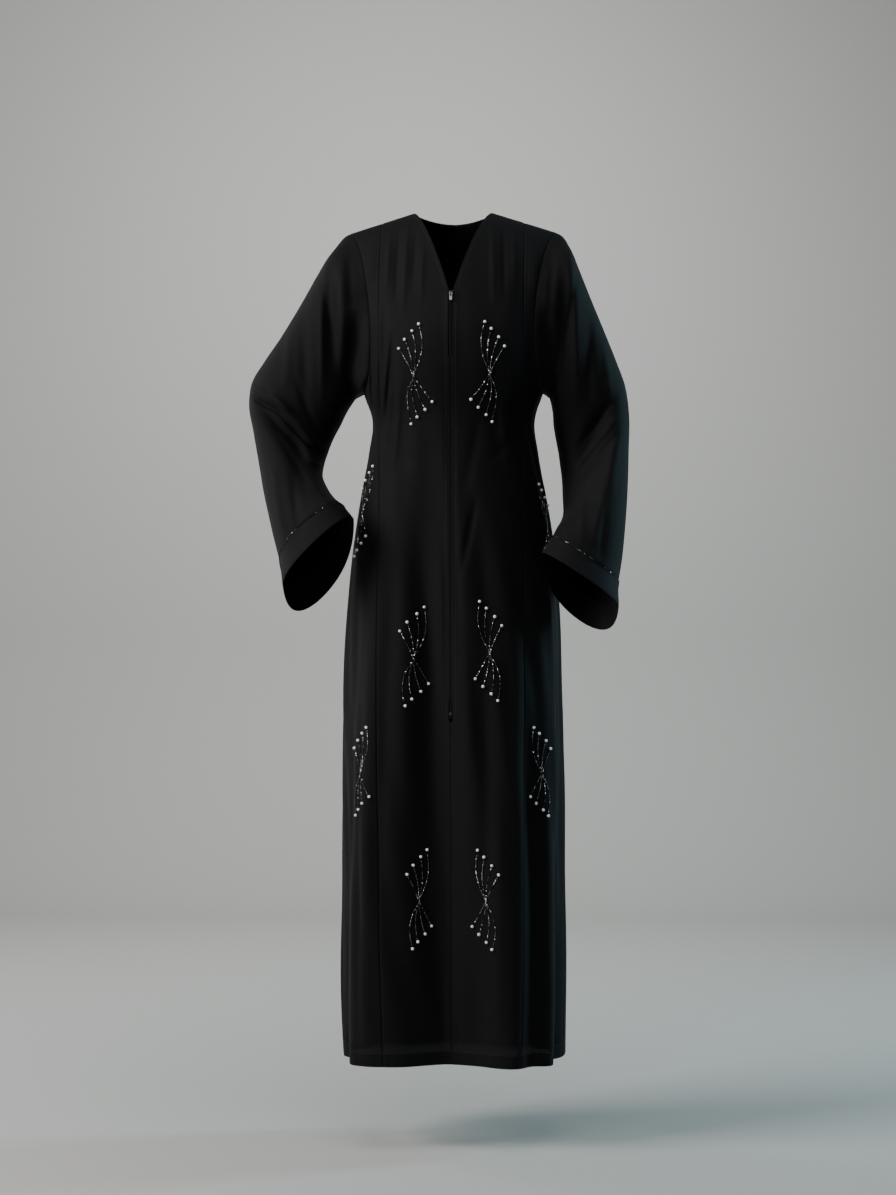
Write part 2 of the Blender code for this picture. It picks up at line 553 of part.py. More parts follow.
# ---- zip ---------------------------------------------------------------------------------
TAPE_WALL = 0.001
TAPE_GAP = 0.0004           # between a panel's inner side and the tape behind it
SLIDER_Z = -0.1475
SLIDER_WIDTH, SLIDER_LENGTH = 0.0060, 0.0100
SLIDER_BACK, SLIDER_FRONT = -0.0013, 0.0018    # from the cloth's outer side, outwards
BRIDGE_INSIDE = 0.0016      # room under the bridge for the pull tab's bar
BRIDGE_BAR = 0.0010
BRIDGE_WIDTH = 0.0016
BRIDGE_SINK = 0.0004        # how far its feet reach into the slider's body
BRIDGE_TOP, BRIDGE_BOTTOM = 0.0042, -0.0036
PULL_THICKNESS = 0.0010
PULL_LENGTH = 0.0140
SLOT_ROOM, SLOT_SIDE_ROOM = 0.0009, 0.0004     # between the tab and the bridge, below and beside
PIVOT_Z = 0.0016            # the pull tab's axis, up from the slider's middle
PIVOT_OUT = SLIDER_FRONT + 0.0003 + PULL_THICKNESS / 2
STOP_SIZE = (0.0044, 0.0020, 0.0040)
STOP_ABOVE_END = 0.010
STOP_LIFT = 0.0006          # from the tape's outer side, about the height of the teeth


def surface_frame(z):
    """The cloth's outer point at the centre front and the tilt of its outward normal."""
    step = 0.004
    above, below = body_points(0.0, z + step), body_points(0.0, z - step)
    tilt = math.atan2(above[1] - below[1], above[2] - below[2])
    return body_points(0.0, z), tilt


def place_on_front(item, z, out=0.0, up=0.0, yaw=0.0):
    """Stands a part made in its own frame, facing -Y, on the cloth at the centre front."""
    point, tilt = surface_frame(z)
    item.rotation_euler = (-tilt, 0, yaw)
    item.location = (0.0,
                     point[1] - out * math.cos(tilt) + up * math.sin(tilt),
                     point[2] + out * math.sin(tilt) + up * math.cos(tilt))


def make_tape(name, sign, collection, material):
    """A zip tape behind a centre front's edge, on that panel's own rows."""
    panel = front_centre_places()[:, :2]
    panel = panel[panel[:, 0, 1] > ZIP_END_Z - ZIP_FOOT_TAPER / 2]
    middle = places(around_at(SEAM_GAP / 2, panel[:, 0, 1]), panel[:, 0, 1])
    tape = np.concatenate([middle[:, None], panel], axis=1)
    around, z = sign * tape[..., 0], tape[..., 1]
    step = 1e-3
    run = body_points(around + step, z) - body_points(around - step, z)
    rise = body_points(around, z + step) - body_points(around, z - step)
    grid = body_points(around, z) - unit(np.cross(run, rise)) * (WALL + TAPE_GAP)
    grid[:, 0, 0] = sign * SEAM_GAP / 2
    return cloth_wall(name, [grid], collection, material, flip=sign < 0, wall=TAPE_WALL)


def flat_outline(name, loops, half_thickness, collection, material):
    """A flat part in the XZ plane from closed outlines of (x, z), with holes where they nest."""
    curve = bpy.data.curves.new(name, "CURVE")
    curve.dimensions = "2D"
    curve.fill_mode = "BOTH"
    curve.extrude = half_thickness
    for loop in loops:
        spline = curve.splines.new("POLY")
        spline.points.add(len(loop) - 1)
        spline.use_cyclic_u = True
        for point, (x, z) in zip(spline.points, loop):
            point.co = (x, z, 0.0, 1.0)
    outline = bpy.data.objects.new(name, curve)
    collection.objects.link(outline)
    mesh = bpy.data.meshes.new_from_object(
        outline.evaluated_get(bpy.context.evaluated_depsgraph_get()))
    bpy.data.objects.remove(outline, do_unlink=True)
    shape = bmesh.new()
    shape.from_mesh(mesh)
    bmesh.ops.remove_doubles(shape, verts=shape.verts, dist=1e-6)
    bmesh.ops.rotate(shape, verts=shape.verts, cent=(0, 0, 0),
                     matrix=Matrix.Rotation(math.pi / 2, 3, "X"))
    bmesh.ops.recalc_face_normals(shape, faces=shape.faces)
    shape.to_mesh(mesh)
    shape.free()
    mesh.materials.clear()
    return add_object(name, mesh, collection, material)


def box(name, size, middle, collection, material):
    shape = bmesh.new()
    bmesh.ops.create_cube(shape, size=1.0)
    bmesh.ops.scale(shape, verts=shape.verts, vec=size)
    bmesh.ops.translate(shape, verts=shape.verts, vec=middle)
    mesh = bpy.data.meshes.new(name)
    shape.to_mesh(mesh)
    shape.free()
    return add_object(name, mesh, collection, material)


def make_slider(collection, cutters, material):
    half, length = SLIDER_WIDTH / 2, SLIDER_LENGTH / 2
    outline = [(-half * 0.72, -length), (half * 0.72, -length), (half * 0.84, 0.0),
               (half, length * 0.45), (half * 0.9, length), (half * 0.25, length),
               (0.0, length * 0.93), (-half * 0.25, length), (-half * 0.9, length),
               (-half, length * 0.45), (-half * 0.84, 0.0)]
    body = flat_outline("zip_slider", [outline], (SLIDER_FRONT - SLIDER_BACK) / 2,
                        collection, material)
    body.data.transform(Matrix.Translation((0, -(SLIDER_FRONT + SLIDER_BACK) / 2, 0)))
    tall = BRIDGE_INSIDE + BRIDGE_BAR
    sink = BRIDGE_SINK
    bridge = box("slider_bridge", (BRIDGE_WIDTH, tall + sink, BRIDGE_TOP - BRIDGE_BOTTOM),
                 (0, -(SLIDER_FRONT + (tall - sink) / 2), (BRIDGE_TOP + BRIDGE_BOTTOM) / 2),
                 cutters, material)
    window = box("bridge_window",
                 (BRIDGE_WIDTH * 2, BRIDGE_INSIDE, BRIDGE_TOP - BRIDGE_BOTTOM - 2 * BRIDGE_BAR),
                 (0, -(SLIDER_FRONT + BRIDGE_INSIDE / 2), (BRIDGE_TOP + BRIDGE_BOTTOM) / 2),
                 cutters, material)
    for cutter, operation in ((bridge, "UNION"), (window, "DIFFERENCE")):
        cutter.hide_render = True
        cutter.display_type = "WIRE"
        boolean = body.modifiers.new(cutter.name, "BOOLEAN")
        boolean.object = cutter
        boolean.operation = operation
    for item in (body, bridge, window):
        place_on_front(item, SLIDER_Z)
    return body


def make_pull(collection, material):
    """The pull tab: a flat teardrop whose slot goes round the bridge, its axis at its bar."""
    bar = PULL_THICKNESS / 2
    slot_bottom = -(PIVOT_Z - BRIDGE_BOTTOM) - SLOT_ROOM
    end = -(PULL_LENGTH - bar)
    widths = [(bar, 0.0019), (-0.0008, 0.0023), (slot_bottom, 0.0021),
              (slot_bottom - 0.0022, 0.0023), (end + 0.0024, 0.0027), (end + 0.0008, 0.0019),
              (end, 0.0008)]
    outline = [(-w, z) for z, w in widths] + [(w, z) for z, w in reversed(widths)]
    slot = BRIDGE_WIDTH / 2 + SLOT_SIDE_ROOM
    hole = [(-slot, -bar), (slot, -bar), (slot, slot_bottom), (-slot, slot_bottom)]
    pull = flat_outline("zip_pull", [outline, hole], PULL_THICKNESS / 2, collection, material)
    place_on_front(pull, SLIDER_Z, out=PIVOT_OUT, up=PIVOT_Z)
    return pull


def make_stop(collection, material):
    stop = box("zip_stop", STOP_SIZE, (0, 0, 0), collection, material)
    z = ZIP_END_Z + STOP_ABOVE_END
    run = body_points(0.004, z) - body_points(-0.004, z)
    place_on_front(stop, z, out=STOP_SIZE[1] / 2 - WALL - TAPE_GAP + STOP_LIFT,
                   yaw=math.atan2(run[1], run[0]))
    return stop


def build():
    clear_scene()
    abaya = new_collection("abaya")
    cutters = new_collection("cutters")
    crepe = principled("black_crepe", (0.010, 0.010, 0.012), 0.75)
    cuff_crepe = principled("black_cuff_crepe", (0.012, 0.012, 0.014), 0.75)
    tape = principled("zip_tape", (0.008, 0.008, 0.009), 0.8)
    dark_metal = principled("slider_metal", (0.10, 0.10, 0.11), 0.35, 0.9)
    bright_metal = principled("pull_metal", (0.62, 0.62, 0.64), 0.25, 1.0)
    for name, sign in SIDES:
        make_front_centre("front_centre_" + name, sign, abaya, crepe)
        make_front_side("front_side_" + name, sign, abaya, crepe)
        make_sleeve("sleeve_" + name, name, sign, abaya, crepe)
        make_cuff("cuff_" + name, name, sign, abaya, cuff_crepe)
        make_tape("zip_tape_" + name, sign, abaya, tape)
    make_back("back", abaya, crepe)
    make_slider(abaya, cutters, dark_metal)
    make_pull(abaya, bright_metal)
    make_stop(abaya, dark_metal)


build()
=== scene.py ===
import math
from collections import namedtuple

import bmesh
import bpy
import numpy as np
from mathutils.kdtree import KDTree
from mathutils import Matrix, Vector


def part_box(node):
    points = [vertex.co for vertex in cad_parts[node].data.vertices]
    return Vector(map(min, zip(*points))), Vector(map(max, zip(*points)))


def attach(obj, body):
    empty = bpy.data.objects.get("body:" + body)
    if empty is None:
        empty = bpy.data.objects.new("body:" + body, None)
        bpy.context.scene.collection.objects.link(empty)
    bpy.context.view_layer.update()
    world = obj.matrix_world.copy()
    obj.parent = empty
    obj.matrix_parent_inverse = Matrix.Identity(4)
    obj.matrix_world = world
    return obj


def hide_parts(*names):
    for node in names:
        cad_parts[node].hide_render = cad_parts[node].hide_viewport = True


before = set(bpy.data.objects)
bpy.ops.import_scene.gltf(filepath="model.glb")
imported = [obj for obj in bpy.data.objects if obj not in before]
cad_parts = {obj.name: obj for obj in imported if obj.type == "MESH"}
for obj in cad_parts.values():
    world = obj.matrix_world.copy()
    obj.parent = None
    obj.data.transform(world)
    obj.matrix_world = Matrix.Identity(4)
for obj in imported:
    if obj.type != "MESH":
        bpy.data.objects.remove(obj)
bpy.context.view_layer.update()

# ==== Panels ==============================================================================
# Two centre fronts, two side fronts and a one-piece back of black crepe, a matt cloth of
# hard-twisted thread. They are sewn at princess, side and shoulder seams, pressed open, so each
# edge sinks a little where it turns in. The hem is turned up once and stitched.
HEM_Z = -1.406
NECK_X = 0.066
TIP_X, TIP_Z = 0.174, -0.034
UNDERARM_X, UNDERARM_Z = 0.150, -0.300
ARMHOLE_SCOOP_FRONT, ARMHOLE_SCOOP_BACK = 0.026, 0.016
V_DEPTH, V_CURVE = 0.140, 1.5
BACK_NECK_DROP = 0.012
CHEST_ROUND_FRONT, CHEST_ROUND_BACK = 0.250, 0.200
PRINCESS_X, PRINCESS_HEM_X, PRINCESS_BEND_Z = 0.119, 0.112, -0.95
ZIP_HALF_GAP, ZIP_END_Z, ZIP_FOOT_TAPER = 0.0034, -0.840, 0.005
ZIP_CLOSED_HALF_GAP, ZIP_EDGE_BEND = 0.0012, 0.030
ZIP_OPEN_FROM, ZIP_OPEN_BELOW = -0.156, -0.822
CLOTH = 0.0007
SEAM_HALF_GAP = 0.00008
CREPE_COLOUR = (0.0036, 0.0036, 0.0042)
CUFF_COLOUR = (0.0040, 0.0040, 0.0047)

FRONT, BACK = -1, 1
SIDES = (("right", -1), ("left", 1))          # the wearer's, with the sign of x


def table(kind, rows, plain=()):
    """Rows of a table written in millimetres, as metres. Fields named in plain aren't lengths."""
    return [kind(*(value if field in plain else value / 1000
                   for field, value in zip(kind._fields, row))) for row in rows]


BodyRow = namedtuple("BodyRow", "z half_width front back fullness")
BODY = table(BodyRow, (
    (-1406, 180, 134, 142, 0.13), (-1300, 183, 134, 140, 0.13), (-1100, 184, 133, 137, 0.12),
    (-950, 184, 132, 135, 0.11), (-800, 181, 130, 133, 0.10), (-660, 175, 127, 130, 0.09),
    (-560, 167, 123, 124, 0.09), (-470, 154, 117, 113, 0.09), (-400, 141, 112, 102, 0.10),
    (-345, 135, 114, 96, 0.12), (-300, 150, 122, 98, 0.12), (-260, 160, 128, 101, 0.11),
    (-215, 170, 129, 103, 0.10), (-140, 186, 117, 103, 0.09), (-80, 199, 106, 98, 0.08),
    (-34, 207, 98, 92, 0.08), (30, 212, 90, 86, 0.08),
), plain=("fullness",))

# A fold grows from z_start down to the hem, and a fine one fades in below z_start and out above
# z_end. around is 0 at the centre front, 0.5 at the left side seam, -0.5 at the right one and 1
# at the centre back.
Fold = namedtuple("Fold", "around_top around_hem z_start height width_top width_hem")
FOLDS = table(Fold, (
    (-0.100, 0.006, -380, -56, 16, 66), (-0.190, -0.300, -420, 14, 30, 40),
    (-0.400, -0.405, -700, -16, 30, 26), (0.062, 0.030, -390, 7, 18, 20),
    (0.140, 0.158, -450, 16, 26, 38), (0.215, 0.250, -520, -12, 16, 22),
    (0.290, 0.305, -560, 12, 20, 26), (0.420, 0.415, -700, -14, 30, 26),
    (0.575, 0.590, -440, 13, 30, 40), (0.680, 0.700, -360, -26, 20, 38),
    (0.800, 0.810, -400, 18, 24, 40), (0.930, 0.905, -380, -22, 18, 34),
    (-0.985, -0.990, -470, 14, 22, 34), (-0.880, -0.895, -360, -28, 20, 36),
    (-0.770, -0.785, -420, 16, 26, 38), (-0.660, -0.670, -400, -20, 22, 36),
    (-0.560, -0.580, -480, 11, 28, 36),
), plain=("around_top", "around_hem"))
FineFold = namedtuple("FineFold", "around_top around_end z_start z_end height width")
FINE_FOLDS = table(FineFold, (
    (-0.032, -0.016, -470, -900, 2.2, 10), (-0.070, -0.052, -560, -1150, -3, 13),
    (-0.125, -0.120, -360, -1150, 5.5, 17), (-0.168, -0.205, -520, -1200, -3, 12),
    (-0.245, -0.240, -640, -1480, 3.6, 13), (-0.275, -0.272, -800, -1500, -4, 10),
    (-0.330, -0.345, -500, -1300, -3.4, 14), (-0.365, -0.362, -900, -1500, 3, 10),
    (-0.445, -0.455, -470, -1000, 3, 14), (0.026, 0.052, -460, -980, 2.6, 9),
    (0.090, 0.098, -480, -1240, -3.6, 12), (0.118, 0.122, -900, -1500, 2.6, 10),
    (0.180, 0.196, -600, -1300, 3, 10), (0.262, 0.270, -760, -1500, -3, 9),
    (0.350, 0.352, -470, -1120, 4, 13), (0.385, 0.392, -860, -1500, -3.4, 11),
    (0.455, 0.462, -500, -1260, -3, 14), (0.540, 0.545, -640, -1500, -3.6, 13),
    (0.630, 0.640, -500, -1200, 3.4, 13), (0.745, 0.752, -560, -1500, -4, 12),
    (0.860, 0.872, -460, -1100, 3.2, 12), (0.955, 0.965, -720, -1500, 3, 11),
    (-0.935, -0.948, -520, -1320, 3.6, 13), (-0.830, -0.838, -620, -1500, -3, 11),
    (-0.715, -0.725, -480, -1180, 3.2, 12), (-0.610, -0.618, -760, -1500, -3.4, 12),
), plain=("around_top", "around_end"))

# A crease is a soft trough or ridge between two places seen from the front, on the front of the
# cloth or on the back.
Crease = namedtuple("Crease", "x0 z0 x1 z1 width height")
BODY_CREASES = {
    FRONT: table(Crease, (
        (-130, -60, -150, -150, 13, 4), (132, -60, 146, -160, 13, 4),
        # the easing that runs down from the shoulder seams
        (-104, -22, -106, -150, 4.5, 2.6), (-88, -18, -91, -170, 5, -3),
        (-74, -14, -78, -185, 4.8, 2.8), (-60, -30, -63, -150, 4.5, -2.2),
        (-47, -50, -49, -165, 4.2, 2), (102, -22, 103, -140, 4.8, 2.4),
        (84, -18, 87, -165, 5, -2.6), (66, -20, 71, -170, 4.6, 2.2),
        # drags from the bust to the waist beside each princess seam
        (-92, -215, -112, -390, 5.5, -4.6), (-101, -195, -116, -360, 5, 4),
        (-110, -160, -109, -300, 4.2, -3), (-129, -180, -131, -345, 4.6, -4.2),
        (-139, -205, -135, -370, 5, 3.6), (-80, -270, -98, -440, 7, 3.6),
        (-88, -310, -112, -470, 5.5, -3.4), (-118, -330, -124, -470, 4.8, 3),
        (-96, -240, -106, -420, 3.4, 1.8), (-87, -225, -99, -370, 3.6, -1.6),
        (-104, -182, -113, -330, 3.2, -2), (-124, -190, -126, -395, 3.4, 1.7),
        (-134, -230, -130, -440, 3.6, -1.5), (-112, -285, -119, -450, 3.4, -1.8),
        (94, -230, 110, -385, 6.5, -3), (128, -185, 128, -340, 5, -3),
        (138, -210, 133, -380, 5.2, 2.6), (78, -275, 94, -450, 8, 2.2), (50, -330, 22, -480, 9, -2),
        (43, -470, 16, -610, 6, -3), (118, -700, 132, -860, 8, 2.6), (128, -360, 60, -420, 8, -2),
        (-126, -365, -60, -430, 8, -2),
    )),
    BACK: table(Crease, (
        # across the back: slack above the waist, and drags from the armholes
        (-120, -130, -85, -290, 10, -3.6), (-105, -100, -60, -250, 9, 2.8),
        (120, -140, 90, -300, 10, -3.6), (104, -105, 64, -240, 9, 2.8),
        (-120, -340, 20, -366, 10, -3.4), (-30, -392, 120, -356, 11, -3.4),
        (-110, -375, 0, -410, 12, 2.8), (0, -30, 10, -260, 10, -2.2), (-48, -50, -36, -300, 8, 2),
        (46, -45, 40, -270, 8, 2),
    )),
}
SLACK = np.random.default_rng(11).uniform(0, 1, (7, 3))     # phases of the cloth's slight slack
SLACK_HEIGHT, SLACK_BELOW = 0.00035, 0.08    # and how far below the shoulder it is full
FLAT_BY_ZIP, FLAT_FADE, FINE_FADE = 0.008, 0.02, 0.35       # shares of the half ring and of a fold
SIDE_FADE = 2.0                              # how fast creases grow in from the sides


def smooth_rows(knots, values, at):
    """Smooth curve through values given at rising knots."""
    slopes = np.gradient(values, knots, axis=0)
    i = np.clip(np.searchsorted(knots, at) - 1, 0, len(knots) - 2)
    span = knots[i + 1] - knots[i]
    t = np.clip((at - knots[i]) / span, 0.0, 1.0)
    shape = (-1,) + (1,) * (np.ndim(values) - 1)
    t, span = t.reshape(shape), span.reshape(shape)
    rest = 1.0 - t
    return (values[i] * rest * rest * (1 + 2 * t) + values[i + 1] * t * t * (3 - 2 * t)
            + span * t * rest * (slopes[i] * rest - slopes[i + 1] * t))


def body_column(name, z):
    return smooth_rows(np.array([row.z for row in BODY]),
                       np.array([getattr(row, name) for row in BODY]), z)


def shoulder_line(x):
    return TIP_Z * (np.abs(x) - NECK_X) / (TIP_X - NECK_X)


def ring_x(around, z):
    sine, cosine = np.sin(math.pi * around), np.cos(math.pi * around)
    return body_column("half_width", z) * sine * (1 + body_column("fullness", z) * cosine ** 2)


def root_at(around, z):
    """Square root of the drop from the shoulder line, which rises evenly over the shoulder."""
    return np.sqrt(np.maximum(shoulder_line(ring_x(around, z)) - z, 0))


def height_at(around, root):
    z = -root ** 2
    for _ in range(8):
        z = shoulder_line(ring_x(around, z)) - root ** 2
    return z


def around_at(x, z, back=False):
    """Where the ring at height z passes x: the place around it, 0 to 0.5, or up to 1 behind."""
    x, z = np.broadcast_arrays(np.asarray(x, float), np.asarray(z, float))
    shape, x, z = x.shape, x.ravel(), z.ravel()
    fullness = body_column("fullness", z)
    share = np.clip(np.abs(x) / body_column("half_width", z), 0, 1)
    sine = share.copy()
    for _ in range(6):
        error = sine * (1 + fullness * (1 - sine * sine)) - share
        sine = np.clip(sine - error / (1 + fullness - 3 * fullness * sine * sine), 0, 1)
    around = (np.arcsin(sine) / math.pi).reshape(shape)
    return 1.0 - around if back else around


def crease_height(creases, x, z, side):
    """Height of the creases at x and z; side says which points are FRONT and which BACK."""
    height = np.zeros_like(x)
    for on_side, row in ((key, row) for key, rows in creases.items() for row in rows):
        run_x, run_z = row.x1 - row.x0, row.z1 - row.z0
        length = math.hypot(run_x, run_z)
        along = ((x - row.x0) * run_x + (z - row.z0) * run_z) / length ** 2
        off = ((x - row.x0) * run_z - (z - row.z0) * run_x) / length
        ends = np.sin(math.pi * np.clip(along, 0, 1))
        height += np.where(side == on_side, row.height * ends * np.exp(-(off / row.width) ** 2), 0)
    return height


def smooth_step(value):
    value = np.clip(value, 0, 1)
    return value * value * (3 - 2 * value)


def body_points(around, z):
    """Outer points of the body's cloth at places around the ring and heights z."""
    around, z = np.broadcast_arrays(np.asarray(around, float), np.asarray(z, float))
    shape, around, z = around.shape, around.ravel(), z.ravel()
    half_width, front, back, fullness = (
        body_column(name, z) for name in ("half_width", "front", "back", "fullness"))
    sine, cosine = np.sin(math.pi * around), np.cos(math.pi * around)
    depth = np.where(cosine > 0, front, back)
    x = ring_x(around, z)
    y = -depth * cosine * (1 + fullness * sine ** 2)
    below = np.maximum(shoulder_line(x) - z, 0)
    reach = np.where(cosine > 0, CHEST_ROUND_FRONT, CHEST_ROUND_BACK)
    rounding = np.sqrt(1 - (1 - np.minimum(below / reach, 1)) ** 2)
    y *= rounding
    half_girth = math.pi * np.sqrt((half_width ** 2 + depth ** 2) / 2)

    def ridge(centre, width):
        away = ((around - centre + 1) % 2 - 1) * half_girth
        return np.exp(-(away / width) ** 2)

    fold = np.zeros_like(x)
    for row in FOLDS:
        grown = np.clip((row.z_start - z) / (row.z_start - HEM_Z), 0, 1)
        centre = row.around_top + (row.around_hem - row.around_top) * grown
        width = row.width_top + (row.width_hem - row.width_top) * grown
        fold += row.height * grown * ridge(centre, width)
    off_zip = smooth_step((np.abs(around) - FLAT_BY_ZIP) / FLAT_FADE)
    for row in FINE_FOLDS:
        along = (row.z_start - z) / (row.z_start - row.z_end)
        centre = row.around_top + (row.around_end - row.around_top) * np.clip(along, 0, 1)
        faded = smooth_step(along / FINE_FADE) * smooth_step((1 - along) / FINE_FADE)
        fold += off_zip * row.height * faded * ridge(centre, row.width)
    slack = np.zeros_like(x)
    for i, (a, b, phase) in enumerate(SLACK):
        slack += np.sin(2 * math.pi * (round(4 + 22 * a) * around / 2 + (1 + 5 * b) * z + phase))
    fold += SLACK_HEIGHT * slack * off_zip * smooth_step(below / SLACK_BELOW)
    normal_x, normal_y = sine / half_width, -cosine / depth
    size = np.hypot(normal_x, normal_y)
    x = x + fold * normal_x / size
    y = y + fold * normal_y / size
    side = np.where(cosine > 0, FRONT, BACK)
    facing = np.clip(rounding * np.abs(cosine) * SIDE_FADE, 0, 1)
    y = y + side * crease_height(BODY_CREASES, x, z, side) * facing
    return np.stack([x, y, z], axis=-1).reshape(shape + (3,))


def unit(vectors):
    return vectors / np.linalg.norm(vectors, axis=-1, keepdims=True)


def body_normals(around, z):
    step = 5e-4
    run = body_points(around + step, z) - body_points(around - step, z)
    rise = body_points(around, z + step) - body_points(around, z - step)
    return unit(np.cross(run, rise))


def armhole_places(side_sign, t):
    """The armhole's edge as places on the body; t is 0 at the shoulder tip, 0.25 in front."""
    lift = (1 + np.cos(2 * math.pi * t)) / 2
    scoop = np.where(t <= 0.5, ARMHOLE_SCOOP_FRONT, ARMHOLE_SCOOP_BACK)
    x = UNDERARM_X + (TIP_X - UNDERARM_X) * lift - scoop * np.abs(np.sin(2 * math.pi * t))
    z = UNDERARM_Z + (TIP_Z - UNDERARM_Z) * lift
    around = around_at(x, z)
    around = np.where(t <= 0.5, around, 1 - around)
    around = np.where(np.isclose(lift, 0), 0.5, around)
    return side_sign * around, z


def finer(marks, most):
    """Even steps of at most a given size between the marks, keeping the marks."""
    steps = [np.linspace(a, b, max(1, math.ceil(abs(b - a) / most)) + 1)[:-1]
             for a, b in zip(marks[:-1], marks[1:])]
    return np.concatenate(steps + [marks[-1:]])


def edge_steps(count, edge=0.012):
    """Shares from 0 to 1 with two narrow steps beside each end, for the turned edge."""
    inner = np.linspace(3 * edge, 1 - 3 * edge, count)
    return np.concatenate([[0, edge * 0.5, edge, 2 * edge], inner,
                           [1 - 2 * edge, 1 - edge, 1 - edge * 0.5, 1]])


BODICE_Z, YOKE_Z = -0.345, -0.250
HEM_TURN = 0.022
LOWER_ROWS = np.concatenate([
    HEM_Z + np.array([0, 0.001, 0.004, 0.010, 0.017, 0.0205, HEM_TURN, 0.0235, 0.027]),
    finer(np.array([HEM_Z + 0.034, ZIP_END_Z - ZIP_FOOT_TAPER]), 0.0060),
    finer(np.array([ZIP_END_Z, BODICE_Z]), 0.0055)])
BODICE_STEPS = np.linspace(0, 1, 20)
YOKE_STEPS = np.concatenate([np.linspace(1, 0.06, 52), [0.045, 0.03, 0.02, 0.01, 0]])
ARMHOLE_CORNER = 0.41
ARMHOLE_BOTTOM = np.linspace(ARMHOLE_CORNER, 0.5, 9)


def places(around, z):
    return np.stack(np.broadcast_arrays(around, z), axis=-1)


def metres_around(metres, around, z):
    step = 1e-4
    ahead, behind = body_points(around + step, z), body_points(around - step, z)
    return metres * 2 * step / np.linalg.norm(ahead - behind, axis=-1)


def seam_edge(x, heights, shift=0.0):
    around = around_at(x, heights)
    return around + metres_around(shift, around, heights)


def yoke_patch(left, right, bottom, top, across):
    """Blends four edges, each a list of (around, z), into the grid of places between them."""
    left, right, bottom, top = (
        places(edge[:, 0], root_at(edge[:, 0], edge[:, 1])) for edge in (left, right, bottom, top))
    c, down = across[None, :, None], YOKE_STEPS[:, None, None]
    corners = ((1 - c) * down * bottom[0] + c * down * bottom[-1]
               + (1 - c) * (1 - down) * top[0] + c * (1 - down) * top[-1])
    blend = ((1 - c) * left[:, None] + c * right[:, None]
             + down * bottom[None] + (1 - down) * top[None] - corners)
    around, root = blend[..., 0].ravel(), blend[..., 1].ravel()
    blend[..., 1] = height_at(around, root).reshape(blend.shape[:2])
    return blend


def between(bottom, top):
    up = BODICE_STEPS[:, None, None]
    return bottom[None] * (1 - up) + top[None] * up


def princess_x(z):
    down = np.clip((PRINCESS_BEND_Z - z) / (PRINCESS_BEND_Z - HEM_Z), 0, 1)
    return PRINCESS_X + (PRINCESS_HEM_X - PRINCESS_X) * down


def centre_x(z):
    """Half the gap between the centre fronts: narrow over the closed zip, wide at its ends."""
    along_zip = np.clip((z - ZIP_END_Z) / ZIP_FOOT_TAPER + 1, 0, 1)
    closed = (smooth_step((ZIP_OPEN_FROM - z) / ZIP_EDGE_BEND)
              * smooth_step((z - ZIP_OPEN_BELOW) / ZIP_EDGE_BEND))
    half_gap = ZIP_HALF_GAP + (ZIP_CLOSED_HALF_GAP - ZIP_HALF_GAP) * closed
    return SEAM_HALF_GAP + (half_gap - SEAM_HALF_GAP) * along_zip


def v_x(share):
    """The V's edge: share is 0 at its foot and 1 at the neck point."""
    return ZIP_HALF_GAP + (NECK_X - ZIP_HALF_GAP) * share


def v_z(share):
    return -V_DEPTH * (1 - share) ** V_CURVE


def yoke_seam(x, top_z, shift=0.0):
    ends = np.array([YOKE_Z, top_z])
    bottom_root, top_root = np.sqrt(shoulder_line(x) - ends)
    root = top_root + (bottom_root - top_root) * YOKE_STEPS
    z = shoulder_line(x) - root ** 2
    return places(seam_edge(x, z, shift), z)


def side_gap(z):
    return metres_around(SEAM_HALF_GAP, np.full_like(z, 0.5), z)


TURN_DIP, TURN_REACH = 0.0009, 0.0015        # how a seam's edge sinks, and over what width
ALLOWANCE = 0.005                            # seam allowance, turned in behind the seam
STITCH_DIP, STITCH_WIDTH = 0.00030, 0.0011
PRINCESS_STITCH = 0.0055                     # the line of stitches beside a princess seam
SHOULDER_TURN, LINE_STEP = 0.015, 0.0004
HEM_EDGE_DIP, HEM_EDGE_WIDTH = 0.0004, 0.0012


def inward(around, z):
    """Unit vectors into the body, which turn down at the shoulder seam."""
    down = np.array([0.0, 0.0, -1.0])
    x = ring_x(around.ravel(), z.ravel()).reshape(z.shape)
    level = smooth_step((shoulder_line(x) - z) / SHOULDER_TURN)[..., None]
    return unit(-body_normals(around, z) * level + down * (1 - level))


def lengths_along(line):
    return np.concatenate([[0], np.cumsum(np.linalg.norm(np.diff(line, axis=0), axis=-1))])


def at_lengths(values, length, at):
    return np.stack([np.interp(at, length, values[:, k]) for k in range(3)], axis=-1)


def even_line(line, pitch):
    """Points at even steps of about the pitch along a line of points."""
    length = lengths_along(line)
    count = max(2, round(length[-1] / pitch) + 1)
    return at_lengths(line, length, np.linspace(0, length[-1], count))


def distance_to(lines, points):
    """How far each point lies from the nearest of some lines of points."""
    spots = np.concatenate([even_line(line, LINE_STEP) for line in lines])
    tree = KDTree(len(spots))
    for i, spot in enumerate(spots):
        tree.insert(spot, i)
    tree.balance()
    flat = points.reshape(-1, 3)
    return np.array([tree.find(point)[2] for point in flat]).reshape(points.shape[:-1])


